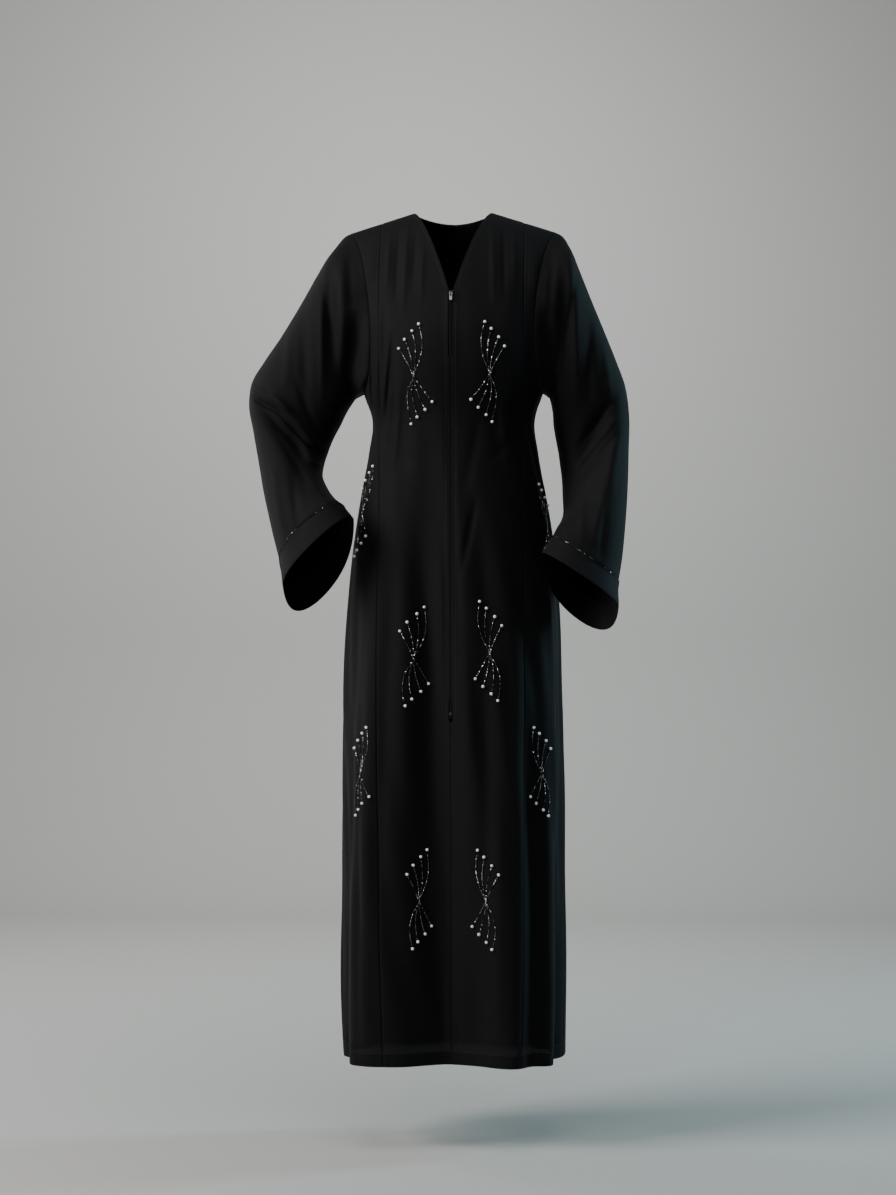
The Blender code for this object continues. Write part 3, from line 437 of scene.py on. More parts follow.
def sewn(panel_places, sign, seams, stitched=()):
    """Grids of points of a panel from its grids of places. Each seam is a slice of one grid's
    edge: there the cloth sinks and its allowance turns in. Stitched lines sink a little too."""
    grids = [body_points(sign * part[..., 0], part[..., 1]) for part in panel_places]
    inner = [inward(sign * part[..., 0], part[..., 1]) for part in panel_places]
    seam_lines = [grids[k][at] for k, at in seams]
    done = []
    for points, towards, part in zip(grids, inner, panel_places):
        z = part[..., 1]
        dip = TURN_DIP * np.exp(-(distance_to(seam_lines, points) / TURN_REACH) ** 1.5)
        dip += STITCH_DIP * np.exp(-((z - HEM_Z - HEM_TURN) / STITCH_WIDTH) ** 2)
        dip += HEM_EDGE_DIP * np.exp(-((z - HEM_Z) / HEM_EDGE_WIDTH) ** 2)
        if stitched:
            lines = [grids[k][at] for k, at in stitched]
            off = distance_to(lines, points) - PRINCESS_STITCH
            dip += STITCH_DIP * np.exp(-(off / STITCH_WIDTH) ** 2)
        done.append(points + towards * dip[..., None])
    uvs = [part * np.array([0.5, 1.0]) for part in panel_places]
    for k, at in seams:
        edge = done[k][at]
        done.append(np.stack([edge, edge + inner[k][at] * ALLOWANCE]))
        uvs.append(np.stack([uvs[k][at]] * 2))
    return done, uvs


def added(name, data):
    item = bpy.data.objects.new(name, data)
    bpy.context.scene.collection.objects.link(item)
    return item


def cloth_mesh(name, grids, uvs, flip=False, closed=False, thickness=CLOTH):
    """A thin cloth through the points of grids that share edges, with its UV in metres. Its
    first grid gives the outer side, and closed joins each grid's last column to its first."""
    verts, faces, coords = [], [], []
    start = 0
    for points, uv in zip(grids, uvs):
        rows, columns = points.shape[:2]
        verts.append(points.reshape(-1, 3))
        coords.append(uv.reshape(-1, 2))
        index = start + np.arange(rows * columns).reshape(rows, columns)
        across = np.concatenate([index, index[:, :1]], axis=1) if closed else index
        quads = np.stack([across[:-1, :-1], across[:-1, 1:], across[1:, 1:], across[1:, :-1]], -1)
        quads = quads.reshape(-1, 4)
        faces.append(quads[:, ::-1] if flip else quads)
        start += rows * columns
    verts, faces, coords = np.concatenate(verts), np.concatenate(faces), np.concatenate(coords)
    mesh = bpy.data.meshes.new(name)
    mesh.from_pydata(verts.tolist(), [], faces.tolist())
    layer = mesh.uv_layers.new(name="cloth")
    layer.data.foreach_set("uv", coords[faces.ravel()].astype(np.float32).ravel())
    shape = bmesh.new()
    shape.from_mesh(mesh)
    shape.faces.ensure_lookup_table()
    first_face = shape.faces[0]
    outside = first_face.normal.copy()
    bmesh.ops.remove_doubles(shape, verts=shape.verts, dist=1e-6)
    bmesh.ops.recalc_face_normals(shape, faces=shape.faces)
    if first_face.normal.dot(outside) < 0:
        bmesh.ops.reverse_faces(shape, faces=shape.faces)
    shape.to_mesh(mesh)
    shape.free()
    mesh.shade_smooth()
    item = added(name, mesh)
    solidify = item.modifiers.new("cloth", "SOLIDIFY")
    solidify.thickness = thickness
    solidify.offset = -1.0
    return item


class Value:
    """One output of a material's nodes, which can be added, multiplied and so on."""

    def __init__(self, tree, socket):
        self.tree, self.socket = tree, socket

    def node(self, kind, inputs=(), output=0, **settings):
        made = self.tree.nodes.new(kind)
        for key, value in settings.items():
            setattr(made, key, value)
        for key, value in dict(inputs).items():
            if isinstance(value, Value):
                self.tree.links.new(value.socket, made.inputs[key])
            else:
                made.inputs[key].default_value = value
        return Value(self.tree, made.outputs[output])

    def math(self, operation, other=0.0):
        return self.node("ShaderNodeMath", {0: self, 1: other}, operation=operation)

    def __add__(self, other):
        return self.math("ADD", other)

    def __mul__(self, other):
        return self.math("MULTIPLY", other)


def material(name, colour, roughness, metallic=0.0, **extra):
    """A Principled material, its shader and a first value of its tree."""
    made = bpy.data.materials.new(name)
    made.use_nodes = True
    shader = made.node_tree.nodes["Principled BSDF"]
    shader.inputs["Base Color"].default_value = (*colour, 1.0)
    shader.inputs["Roughness"].default_value = roughness
    shader.inputs["Metallic"].default_value = metallic
    for key, value in extra.items():
        shader.inputs[key.replace("_", " ").title().replace("Ior", "IOR")].default_value = value
    coordinates = made.node_tree.nodes.new("ShaderNodeTexCoord")
    return made, shader, Value(made.node_tree, coordinates.outputs["Object"])


THREAD_PITCH, TINTS, SHEER = 0.00042, (0.86, 1.16), 0.10


def crepe(name, colour, sheer_hem):
    """Matt crepe: a pebbly grain over a fine plain weave, and a soft bloom at grazing angles."""
    made, shader, place = material(
        name, colour, 0.72, sheen_weight=0.022, sheen_roughness=0.42,
        sheen_tint=(0.80, 0.82, 0.88, 1.0), specular_ior_level=0.10)
    link = made.node_tree.links.new
    uv = place.node("ShaderNodeUVMap", uv_map="cloth")
    across, along = (uv.node("ShaderNodeSeparateXYZ", {0: uv}, output=k) for k in (0, 1))
    turns = 2 * math.pi / THREAD_PITCH
    weave = (across * turns).math("SINE") * (along * turns).math("SINE")
    grain = place.node("ShaderNodeTexNoise", {"Vector": place, "Scale": 1500.0, "Detail": 3.0})
    slub = place.node("ShaderNodeTexNoise", {"Vector": place, "Scale": 160.0, "Detail": 2.0})
    height = weave * 0.25 + grain * 0.8 + slub * 0.5
    bump = place.node("ShaderNodeBump", {"Height": height, "Strength": 0.35, "Distance": 0.0004})
    link(bump.socket, shader.inputs["Normal"])
    cloud = place.node("ShaderNodeTexNoise", {"Vector": place, "Scale": 9.0, "Detail": 2.0})
    dark, light = ((*(c * share for c in colour), 1.0) for share in TINTS)
    tint = place.node("ShaderNodeMix", {"Factor": cloud, 6: dark, 7: light}, output=2,
                      data_type="RGBA")
    link(tint.socket, shader.inputs["Base Color"])
    link((grain * 0.12 + 0.66).socket, shader.inputs["Roughness"])
    if sheer_hem:
        z = place.node("ShaderNodeSeparateXYZ", {0: place}, output=2)
        share = place.node("ShaderNodeMapRange", {"Value": z, 1: HEM_Z + 0.045, 2: HEM_Z + 0.030,
                                                  3: 0.0, 4: 1.0})
        hem = place.node("ShaderNodeMapRange", {"Value": z, 1: HEM_Z + HEM_TURN + 0.001,
                                                2: HEM_Z + HEM_TURN - 0.001, 3: 1.0, 4: 0.35})
        link((share * hem * -SHEER + 1.0).socket, shader.inputs["Alpha"])
    return made


crepe_cloth = crepe("crepe", CREPE_COLOUR, True)


def dress(piece, finish, body="garment"):
    piece.data.materials.clear()
    piece.data.materials.append(finish)
    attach(piece, body)
    return piece


FRONT_NECK_SHARE = 0.62          # this share of a centre front's top runs along the V


def front_centre_places():
    """Places of a centre front's points, a row for each height and a column from the zip out."""
    across = np.unique(np.concatenate([edge_steps(52, 0.009), [FRONT_NECK_SHARE]]))
    z = np.concatenate([LOWER_ROWS, BODICE_Z + (YOKE_Z - BODICE_Z) * BODICE_STEPS[1:]])
    inner, outer = seam_edge(centre_x(z), z), seam_edge(princess_x(z), z, -SEAM_HALF_GAP)
    lower = places(inner[:, None] + (outer - inner)[:, None] * across, z[:, None])
    share = np.clip(across / FRONT_NECK_SHARE, 0, 1)
    on_shoulder = np.clip((across - FRONT_NECK_SHARE) / (1 - FRONT_NECK_SHARE), 0, 1)
    top_x = v_x(share) + (PRINCESS_X - SEAM_HALF_GAP - NECK_X) * on_shoulder
    top_z = np.where(share < 1, v_z(share), shoulder_line(top_x))
    top = places(around_at(top_x, top_z), top_z)
    outer_seam = yoke_seam(PRINCESS_X, shoulder_line(PRINCESS_X), -SEAM_HALF_GAP)
    yoke = yoke_patch(yoke_seam(ZIP_HALF_GAP, -V_DEPTH), outer_seam, lower[-1], top, across)
    return np.concatenate([lower, yoke[1:]]), share >= 1


WHOLE_FIRST, WHOLE_LAST = np.s_[:, 0], np.s_[:, -1]

for name, sign in SIDES:
    panel_places, on_shoulder = front_centre_places()
    below_zip = np.nonzero(panel_places[:, 0, 1] <= ZIP_END_Z)[0]
    shoulder = np.nonzero(on_shoulder)[0]
    seams = [(0, np.s_[below_zip[0]:below_zip[-1] + 1, 0]), (0, WHOLE_LAST),
             (0, np.s_[-1, shoulder[0]:])]
    grids, uvs = sewn([panel_places], sign, seams)
    panel = cloth_mesh("cloth_front_centre_" + name, grids, uvs, flip=sign < 0)
    dress(panel, crepe_cloth)
    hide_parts("front_centre_" + name)


def side_front_places():
    """Places of a side front: the wide part below the armhole, and the strip beside it."""
    strip_across = edge_steps(26, 0.03)
    corner_share = 0.80
    across = np.concatenate([strip_across * corner_share,
                             np.linspace(corner_share, 1, len(ARMHOLE_BOTTOM))[1:]])
    z = LOWER_ROWS
    inner, outer = seam_edge(princess_x(z), z, SEAM_HALF_GAP), 0.5 - side_gap(z)
    lower = places(inner[:, None] + (outer - inner)[:, None] * across, z[:, None])
    armhole_bottom = places(*armhole_places(1, ARMHOLE_BOTTOM))
    armhole_bottom[-1, 0] -= side_gap(np.array([UNDERARM_Z]))[0]
    yoke_start = places(seam_edge(PRINCESS_X, np.array([YOKE_Z]), SEAM_HALF_GAP), YOKE_Z)
    strip_bottom = yoke_start + (armhole_bottom[0] - yoke_start) * strip_across[:, None]
    bodice = between(lower[-1], np.concatenate([strip_bottom[:-1], armhole_bottom]))
    bodice[:, 0] = places(seam_edge(PRINCESS_X, bodice[:, 0, 1], SEAM_HALF_GAP), bodice[:, 0, 1])
    bodice[:, -1, 0] = 0.5 - side_gap(bodice[:, -1, 1])
    top_x = PRINCESS_X + SEAM_HALF_GAP + (TIP_X - PRINCESS_X - SEAM_HALF_GAP) * strip_across
    top = places(around_at(top_x, shoulder_line(top_x)), shoulder_line(top_x))
    armhole_side = places(*armhole_places(1, ARMHOLE_CORNER * YOKE_STEPS))
    inner_seam = yoke_seam(PRINCESS_X, shoulder_line(PRINCESS_X), SEAM_HALF_GAP)
    strip = yoke_patch(inner_seam, armhole_side, strip_bottom, top, strip_across)
    strip[0] = strip_bottom
    return np.concatenate([lower[:-1], bodice]), strip, len(strip_across) - 1


for name, sign in SIDES:
    wide, strip, corner = side_front_places()
    seams = [(0, WHOLE_FIRST), (0, WHOLE_LAST), (0, np.s_[-1, corner:]), (1, WHOLE_FIRST),
             (1, WHOLE_LAST), (1, np.s_[-1, :])]
    grids, uvs = sewn([wide, strip], sign, seams, stitched=[(0, WHOLE_FIRST), (1, WHOLE_FIRST)])
    panel = cloth_mesh("cloth_front_side_" + name, grids, uvs, flip=sign < 0)
    dress(panel, crepe_cloth)
    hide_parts("front_side_" + name)


def mirrored(line):
    return np.array([2.0, 0.0]) + line * np.array([-1.0, 1.0])


def mirror_across(line):
    return np.concatenate([line, mirrored(line[::-1])[1:]])


def back_places():
    """Places of the back: the wide part below the armholes, and the part between them."""
    corner_share = 0.07
    bottom_count = len(ARMHOLE_BOTTOM) - 1
    half = np.concatenate([np.linspace(0, corner_share, bottom_count + 1)[:-1],
                           corner_share + np.array([0, 0.0015, 0.003, 0.006]),
                           np.linspace(corner_share + 0.011, 0.5, 54)])
    across = np.concatenate([half, 1 - half[-2::-1]])
    z = LOWER_ROWS
    gap = side_gap(z)[:, None]
    lower = places(0.5 + gap + (1 - 2 * gap) * across, z[:, None])
    armhole_bottom = places(*armhole_places(1, 1 - ARMHOLE_BOTTOM))[::-1]
    armhole_bottom[0, 0] += side_gap(np.array([UNDERARM_Z]))[0]
    corner = armhole_bottom[-1]
    half_across = (half[bottom_count:] - corner_share) / (0.5 - corner_share)
    half_line = corner + (np.array([1.0, corner[1]]) - corner) * half_across[:, None]
    bodice = between(lower[-1], mirror_across(np.concatenate([armhole_bottom[:-1], half_line])))
    for edge, sense in ((0, 1), (-1, -1)):
        bodice[:, edge, 0] = 1 + sense * (side_gap(bodice[:, edge, 1]) - 0.5)
    neck_share = 0.43
    shoulder_x = TIP_X + (NECK_X - TIP_X) * half_across / neck_share
    neck_x = NECK_X * (1 - np.clip((half_across - neck_share) / (1 - neck_share), 0, 1))
    top_x = np.where(half_across < neck_share, shoulder_x, neck_x)
    neck_z = -BACK_NECK_DROP * (1 - (top_x / NECK_X) ** 2)
    top_z = np.where(top_x < NECK_X, neck_z, shoulder_line(top_x))
    half_top = places(around_at(top_x, top_z, back=True), top_z)
    armhole_side = places(*armhole_places(1, 1 - ARMHOLE_CORNER * YOKE_STEPS))
    armhole_side[-1] = half_top[0]
    yoke_bottom = mirror_across(half_line)
    yoke_across = np.concatenate([half_across, 2 - half_across[-2::-1]]) / 2
    yoke = yoke_patch(armhole_side, mirrored(armhole_side), yoke_bottom, mirror_across(half_top),
                      yoke_across)
    yoke[0] = yoke_bottom
    shoulder = int(np.sum(half_across <= neck_share))
    return np.concatenate([lower[:-1], bodice]), yoke, bottom_count, shoulder


wide, yoke, corner, shoulder = back_places()
seams = [(0, WHOLE_FIRST), (0, WHOLE_LAST), (0, np.s_[-1, :corner + 1]),
         (0, np.s_[-1, -corner - 1:]), (1, WHOLE_FIRST), (1, WHOLE_LAST),
         (1, np.s_[-1, :shoulder]), (1, np.s_[-1, -shoulder:])]
grids, uvs = sewn([wide, yoke], 1, seams)
back = cloth_mesh("cloth_back", grids, uvs)
dress(back, crepe_cloth)
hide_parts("back")

# ==== Sleeves and cuffs ===================================================================
# Wide one-piece sleeves set into the armholes, each ending in a deep cuff band of the same
# crepe with its seam under a row of beads. They bag over the elbows and fall in soft folds.
SLEEVE_CREASES = {
    FRONT: table(Crease, (
        (-203, -70, -192, -300, 13, -16), (-182, -60, -184, -280, 13, 7),
        (-150, -170, -176, -320, 17, -18), (-335, -300, -222, -437, 13, -16),
        (-320, -275, -222, -410, 16, 8), (-270, -330, -232, -500, 14, -8),
        (186, -70, 182, -300, 13, -12), (152, -160, 166, -270, 16, -10),
        (284, -330, 232, -560, 13, 9), (262, -300, 196, -480, 16, -10),
        # finer: the right sleeve
        (-172, -66, -166, -170, 5.5, -3.4), (-214, -110, -214, -330, 6, 3.4),
        (-246, -150, -240, -340, 9, -3.8), (-268, -185, -276, -300, 8, 3),
        (-352, -280, -262, -335, 5.2, 6.6), (-356, -293, -258, -352, 4, -9.8),
        (-304, -296, -214, -398, 5.6, 7.4), (-306, -314, -212, -414, 6, -12.4),
        (-240, -392, -196, -404, 4, -4), (-252, -410, -194, -430, 4.4, 3.6),
        (-318, -330, -226, -446, 6, 4), (-300, -350, -232, -462, 5, -3.2),
        (-262, -270, -214, -396, 6, -3.4), (-222, -420, -182, -474, 5.2, -3.4),
        (-236, -438, -192, -496, 5, 2.8), (-296, -420, -268, -560, 8, 4),
        (-262, -430, -240, -560, 7, -3.6),
        # finer: the left sleeve
        (205, -85, 205, -330, 7, 3.4), (166, -70, 160, -190, 5.5, -3),
        (226, -130, 226, -340, 8, -3.6), (250, -200, 262, -330, 7, 3),
        (276, -300, 202, -402, 6, -3.4), (282, -330, 196, -440, 5.2, 3.6),
        (280, -362, 200, -462, 4.6, -3.4), (246, -480, 196, -508, 5.5, -3),
        (258, -430, 240, -600, 7, -4), (212, -440, 212, -560, 7, 3),
    )),
    BACK: table(Crease, (
        (-225, -100, -205, -330, 16, -12), (-330, -330, -230, -440, 15, -12),
        (212, -100, 192, -330, 16, -12), (280, -380, 200, -480, 15, -10),
        # finer
        (-196, -80, -186, -280, 8, 3.6), (-256, -160, -250, -360, 9, -4),
        (-310, -300, -222, -404, 6, 4), (-316, -360, -232, -462, 6, 3.4),
        (-290, -430, -250, -560, 9, -4), (190, -80, 180, -280, 8, 3.6),
        (238, -160, 236, -360, 9, -4), (268, -330, 200, -424, 6, 4), (276, -430, 236, -590, 8, -4),
    )),
}
SleeveRow = namedtuple(
    "SleeveRow", "s outer_x outer_z inner_x inner_z middle_y half_depth front_lift back_drop")
SLEEVE_ROWS = {
    "right": table(SleeveRow, (
        (0.09, -205, -68, -163, -309, 0, 80, 0, 0), (0.16, -226, -101, -170, -318, 1, 76, 0, 0),
        (0.25, -253, -148, -180, -334, 2, 71, 0, 0), (0.35, -288, -205, -190, -355, 3, 67, 0, 0),
        (0.43, -317, -247, -198, -369, 4, 64, 0, 2), (0.50, -338, -283, -205, -384, 4, 63, 0, 4),
        (0.56, -342, -320, -211, -401, 0, 64, 0, 8), (0.63, -334, -363, -216, -418, -8, 67, 2, 14),
        (0.70, -323, -418, -217, -438, -22, 69, 6, 22),
        (0.79, -312, -472, -203, -467, -42, 69, 14, 36),
        (0.87, -297, -531, -188, -486, -62, 67, 22, 50),
        (0.94, -283, -580, -175, -497, -78, 65, 27, 62),
        (1.00, -276, -623, -159, -513, -94, 64, 18, 74),
    ), plain=("s",)),
    "left": table(SleeveRow, (
        (0.09, 196, -62, 161, -311, 0, 80, 0, 0), (0.16, 211, -98, 165, -330, 1, 75, 0, 0),
        (0.25, 231, -148, 167, -355, 2, 69, 0, 0), (0.35, 255, -206, 171, -379, 4, 65, 0, 0),
        (0.43, 273, -251, 175, -400, 6, 63, 0, 2), (0.50, 287, -291, 178, -422, 6, 62, 0, 4),
        (0.57, 293, -339, 181, -447, 2, 62, 0, 8), (0.65, 292, -393, 182, -474, -10, 63, 2, 16),
        (0.73, 290, -452, 183, -500, -28, 64, 4, 28), (0.81, 286, -511, 179, -516, -52, 64, 6, 42),
        (0.88, 280, -569, 173, -526, -72, 63, 6, 54), (0.94, 273, -613, 165, -541, -88, 61, 6, 62),
        (1.00, 273, -654, 147, -569, -108, 60, 8, 68),
    ), plain=("s",)),
}
SLEEVE_FULLNESS = 0.08
SLEEVE_GIRTH, SLEEVE_LENGTH = 0.42, 0.60     # the size of its cloth's UV
CREASES_FROM_S, SINKS_TO_S = 0.05, 0.05
SLEEVE_SIDE_FADE = 2.5
CUFF_S = 0.94
CUFF_EDGE_DIP, CUFF_EDGE_REACH = 0.0005, 0.0014
SLEEVE_START, SLEEVE_START_S = 0.010, 0.03
SLOPE_AT_TIP, SLOPE_UNDER_ARM = -0.30, -0.55
SLEEVE_AROUND = np.linspace(0, 1, 161)[:-1]
SLEEVE_STEPS = np.concatenate([[0, 0.0018, 0.004, 0.008, 0.013],
                               finer(np.array([0.02, 0.93]), 0.006),
                               [0.933, 0.936, 0.938, 0.9393, CUFF_S]])
CUFF_STEPS = np.concatenate([[CUFF_S, 0.9407, 0.942, 0.944, 0.947],
                             np.linspace(0.950, 0.994, 14), [0.9965, 0.9985, 1.0]])


def sleeve_ring(row, turn):
    """A ring of the sleeve; turn is 0 at its outer end and rises over the front."""
    sine, cosine = np.sin(turn), np.cos(turn)
    across = cosine * (1 + SLEEVE_FULLNESS * sine ** 2)
    deep = sine * (1 + SLEEVE_FULLNESS * cosine ** 2)
    x = (row.outer_x + row.inner_x) / 2 + (row.outer_x - row.inner_x) / 2 * across
    y = row.middle_y - row.half_depth * deep
    z = (row.outer_z + row.inner_z) / 2 + (row.outer_z - row.inner_z) / 2 * across
    z += np.where(deep > 0, row.front_lift, row.back_drop) * deep
    return np.stack([x, y, z], axis=-1)


def sleeve_points(name, side_sign, s, t):
    """Outer points of a sleeve, a row for each s and a column for each t around it."""
    turn = 2 * math.pi * t
    armhole_around, armhole_z = armhole_places(side_sign, t)
    armhole = body_points(armhole_around, armhole_z)
    rings = [sleeve_ring(row, turn) for row in SLEEVE_ROWS[name]]
    slope = SLOPE_AT_TIP + (SLOPE_UNDER_ARM - SLOPE_AT_TIP) * (1 - np.cos(turn)) / 2
    sideways = np.stack([np.full_like(t, side_sign), np.zeros_like(t), slope], axis=-1)
    out = unit(unit(sideways) + unit(rings[0] - armhole))
    knots = [0.0, SLEEVE_START_S] + [row.s for row in SLEEVE_ROWS[name]]
    rings = [armhole + out * 2 * SEAM_HALF_GAP, armhole + out * SLEEVE_START] + rings
    points = smooth_rows(np.array(knots), np.array(rings), s)
    side = np.broadcast_to(np.where(t <= 0.5, FRONT, BACK), points.shape[:2])
    facing = np.clip(SLEEVE_SIDE_FADE * np.abs(np.sin(turn)), 0, 1)
    facing = facing * np.clip(s / CREASES_FROM_S, 0, 1)[:, None]
    height = crease_height(SLEEVE_CREASES, points[..., 0], points[..., 2], side)
    points[..., 1] += side * facing * height
    away = np.linalg.norm(points - points[:1], axis=-1)
    dip = TURN_DIP * np.exp(-(away / TURN_REACH) ** 1.5) * (s < SINKS_TO_S)[:, None]
    return points + inward(armhole_around, armhole_z)[None] * dip[..., None]


def tube_normals(points, side_sign):
    """Outward unit vectors of a grid whose columns close into a ring."""
    run = np.roll(points, -1, axis=1) - np.roll(points, 1, axis=1)
    return side_sign * unit(np.cross(run, np.gradient(points, axis=0)))


def sunk(points, normals, depth, row, reach):
    """Sinks a tube's points near one of its rows."""
    away = np.linalg.norm(points - points[row], axis=-1)
    return points - normals * (depth * np.exp(-(away / reach) ** 1.5))[..., None]


def tube_uv(steps):
    return np.stack(np.meshgrid(SLEEVE_AROUND * SLEEVE_GIRTH, steps * SLEEVE_LENGTH), axis=-1)


cuff_cloth = crepe("cuff_crepe", CUFF_COLOUR, False)
cuff_lines = {}
for name, sign in SIDES:
    points = sleeve_points(name, sign, SLEEVE_STEPS, SLEEVE_AROUND)
    normals = tube_normals(points, sign)
    points = sunk(points, normals, TURN_DIP, -1, TURN_REACH)
    into_body = inward(*armhole_places(sign, SLEEVE_AROUND))
    grids = [points, np.stack([points[0], points[0] + into_body * ALLOWANCE]),
             np.stack([points[-1], points[-1] - normals[-1] * ALLOWANCE])]
    uv = tube_uv(SLEEVE_STEPS)
    sleeve = cloth_mesh("cloth_sleeve_" + name, grids, [uv, uv[[0, 0]], uv[[-1, -1]]],
                        flip=sign < 0, closed=True)
    dress(sleeve, crepe_cloth)
    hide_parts("sleeve_" + name)

    points = sleeve_points(name, sign, CUFF_STEPS, SLEEVE_AROUND)
    points[0] += unit(points[1] - points[0]) * 2 * SEAM_HALF_GAP
    normals = tube_normals(points, sign)
    cuff_lines[name] = points[2], normals[2]
    points = sunk(points, normals, TURN_DIP, 0, TURN_REACH)
    points = sunk(points, normals, CUFF_EDGE_DIP, -1, CUFF_EDGE_REACH)
    grids = [points, np.stack([points[0], points[0] - normals[0] * ALLOWANCE])]
    uv = tube_uv(CUFF_STEPS)
    cuff = cloth_mesh("cloth_cuff_" + name, grids, [uv, uv[[0, 0]]], flip=sign < 0, closed=True)
    dress(cuff, cuff_cloth)
    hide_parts("cuff_" + name)

# ==== Zip =================================================================================
# A nylon coil zip behind the folded edges of the centre fronts: two woven tapes, each with a
# coil whose turns hook into the other's, a stop at the foot, and a slider with a bright pull.
TAPE_DEPTH, TAPE_THICK = 0.0016, 0.0005      # from the cloth's outer side
TAPE_COLUMNS = np.array([0.0002, 0.0012, 0.0022, 0.0034, 0.0055, 0.0080, 0.0105, 0.0122])
TAPE_BELOW_EDGE = 0.002
TOOTH_PITCH, TOOTH_OUT = 0.00140, 0.0006
TOOTH_SIZE, TOOTH_AWAY = (0.0022, 0.00095, 0.00105), 0.0008
SLIDER_CLEAR, ZIP_ENDS, TAPE_RIB = 0.0056, 0.004, 0.0006


def turned(along, out):
    """Rotations that point a small part's X along one direction and its Z out."""
    x = unit(along)
    z = unit(out - x * np.sum(out * x, axis=-1, keepdims=True))
    y = np.cross(z, x)
    return np.stack([np.arctan2(y[:, 2], z[:, 2]), -np.arcsin(np.clip(x[:, 2], -1, 1)),
                     np.arctan2(x[:, 1], x[:, 0])], axis=-1)


def turned_bead(name, profile, sides):
    """A small part turned about X from rows of (x, radius), its ends closed."""
    shape = bmesh.new()
    angles = [2 * math.pi * k / sides for k in range(sides)]
    rings = [[shape.verts.new((x, r * math.cos(a), r * math.sin(a))) for a in angles]
             for x, r in profile]
    for low, high in zip(rings[:-1], rings[1:]):
        for k in range(sides):
            shape.faces.new((low[k], low[k - 1], high[k - 1], high[k]))
    shape.faces.new(rings[0])
    shape.faces.new(rings[-1][::-1])
    bmesh.ops.recalc_face_normals(shape, faces=shape.faces)
    mesh = bpy.data.meshes.new(name)
    shape.to_mesh(mesh)
    shape.free()
    return added(name, mesh)


def repeated(name, shape, spots, turns, sizes, finish, smooth=True):
    """Copies of a small part at many spots, as one plain mesh."""
    mesh = bpy.data.meshes.new(name + "_spots")
    mesh.from_pydata(spots.tolist(), [], [])
    for key, values in (("turn", turns), ("size", sizes)):
        layer = mesh.attributes.new(key, "FLOAT_VECTOR", "POINT")
        full = np.broadcast_to(values, spots.shape).astype(np.float32)
        layer.data.foreach_set("vector", full.ravel())
    holder = added(name + "_spots", mesh)
    group = bpy.data.node_groups.new(name, "GeometryNodeTree")
    sockets = [group.interface.new_socket(label, in_out=way, socket_type="NodeSocket" + kind)
               for label, way, kind in (
                   ("Spots", "INPUT", "Geometry"), ("Part", "INPUT", "Object"),
                   ("Finish", "INPUT", "Material"), ("Copies", "OUTPUT", "Geometry"))]

    def node(kind, joined=(), **settings):
        made = group.nodes.new(kind)
        for key, value in settings.items():
            setattr(made, key, value)
        for key, source in dict(joined).items():
            group.links.new(source, made.inputs[key])
        return made

    def stored(key):
        read = node("GeometryNodeInputNamedAttribute", data_type="FLOAT_VECTOR")
        read.inputs["Name"].default_value = key
        return read.outputs["Attribute"]

    given = node("NodeGroupInput").outputs
    part = node("GeometryNodeObjectInfo", {"Object": given["Part"]}).outputs["Geometry"]
    placed = node("GeometryNodeInstanceOnPoints", {
        "Points": given["Spots"], "Instance": part, "Rotation": stored("turn"),
        "Scale": stored("size")}).outputs["Instances"]
    real = node("GeometryNodeRealizeInstances", {"Geometry": placed}).outputs["Geometry"]
    paint = node("GeometryNodeSetMaterial", {"Geometry": real, "Material": given["Finish"]})
    node("NodeGroupOutput", {"Copies": paint.outputs["Geometry"]})
    modifier = holder.modifiers.new("copies", "NODES")
    modifier.node_group = group
    modifier[sockets[1].identifier] = shape
    modifier[sockets[2].identifier] = finish
    plain = bpy.data.meshes.new_from_object(
        holder.evaluated_get(bpy.context.evaluated_depsgraph_get()))
    plain.name = name
    for key in ("turn", "size"):
        if key in plain.attributes:
            plain.attributes.remove(plain.attributes[key])
    bpy.data.objects.remove(holder)
    bpy.data.objects.remove(shape)
    if smooth:
        plain.shade_smooth()
    item = added(name, plain)
    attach(item, "garment")
    return item


def on_cloth(around, z):
    """Outer points of the body and the outward directions there."""
    return body_points(around, z), -inward(around, np.broadcast_to(z, around.shape))


def on_body(x, z, sign):
    return on_cloth(sign * around_at(x, z), z)


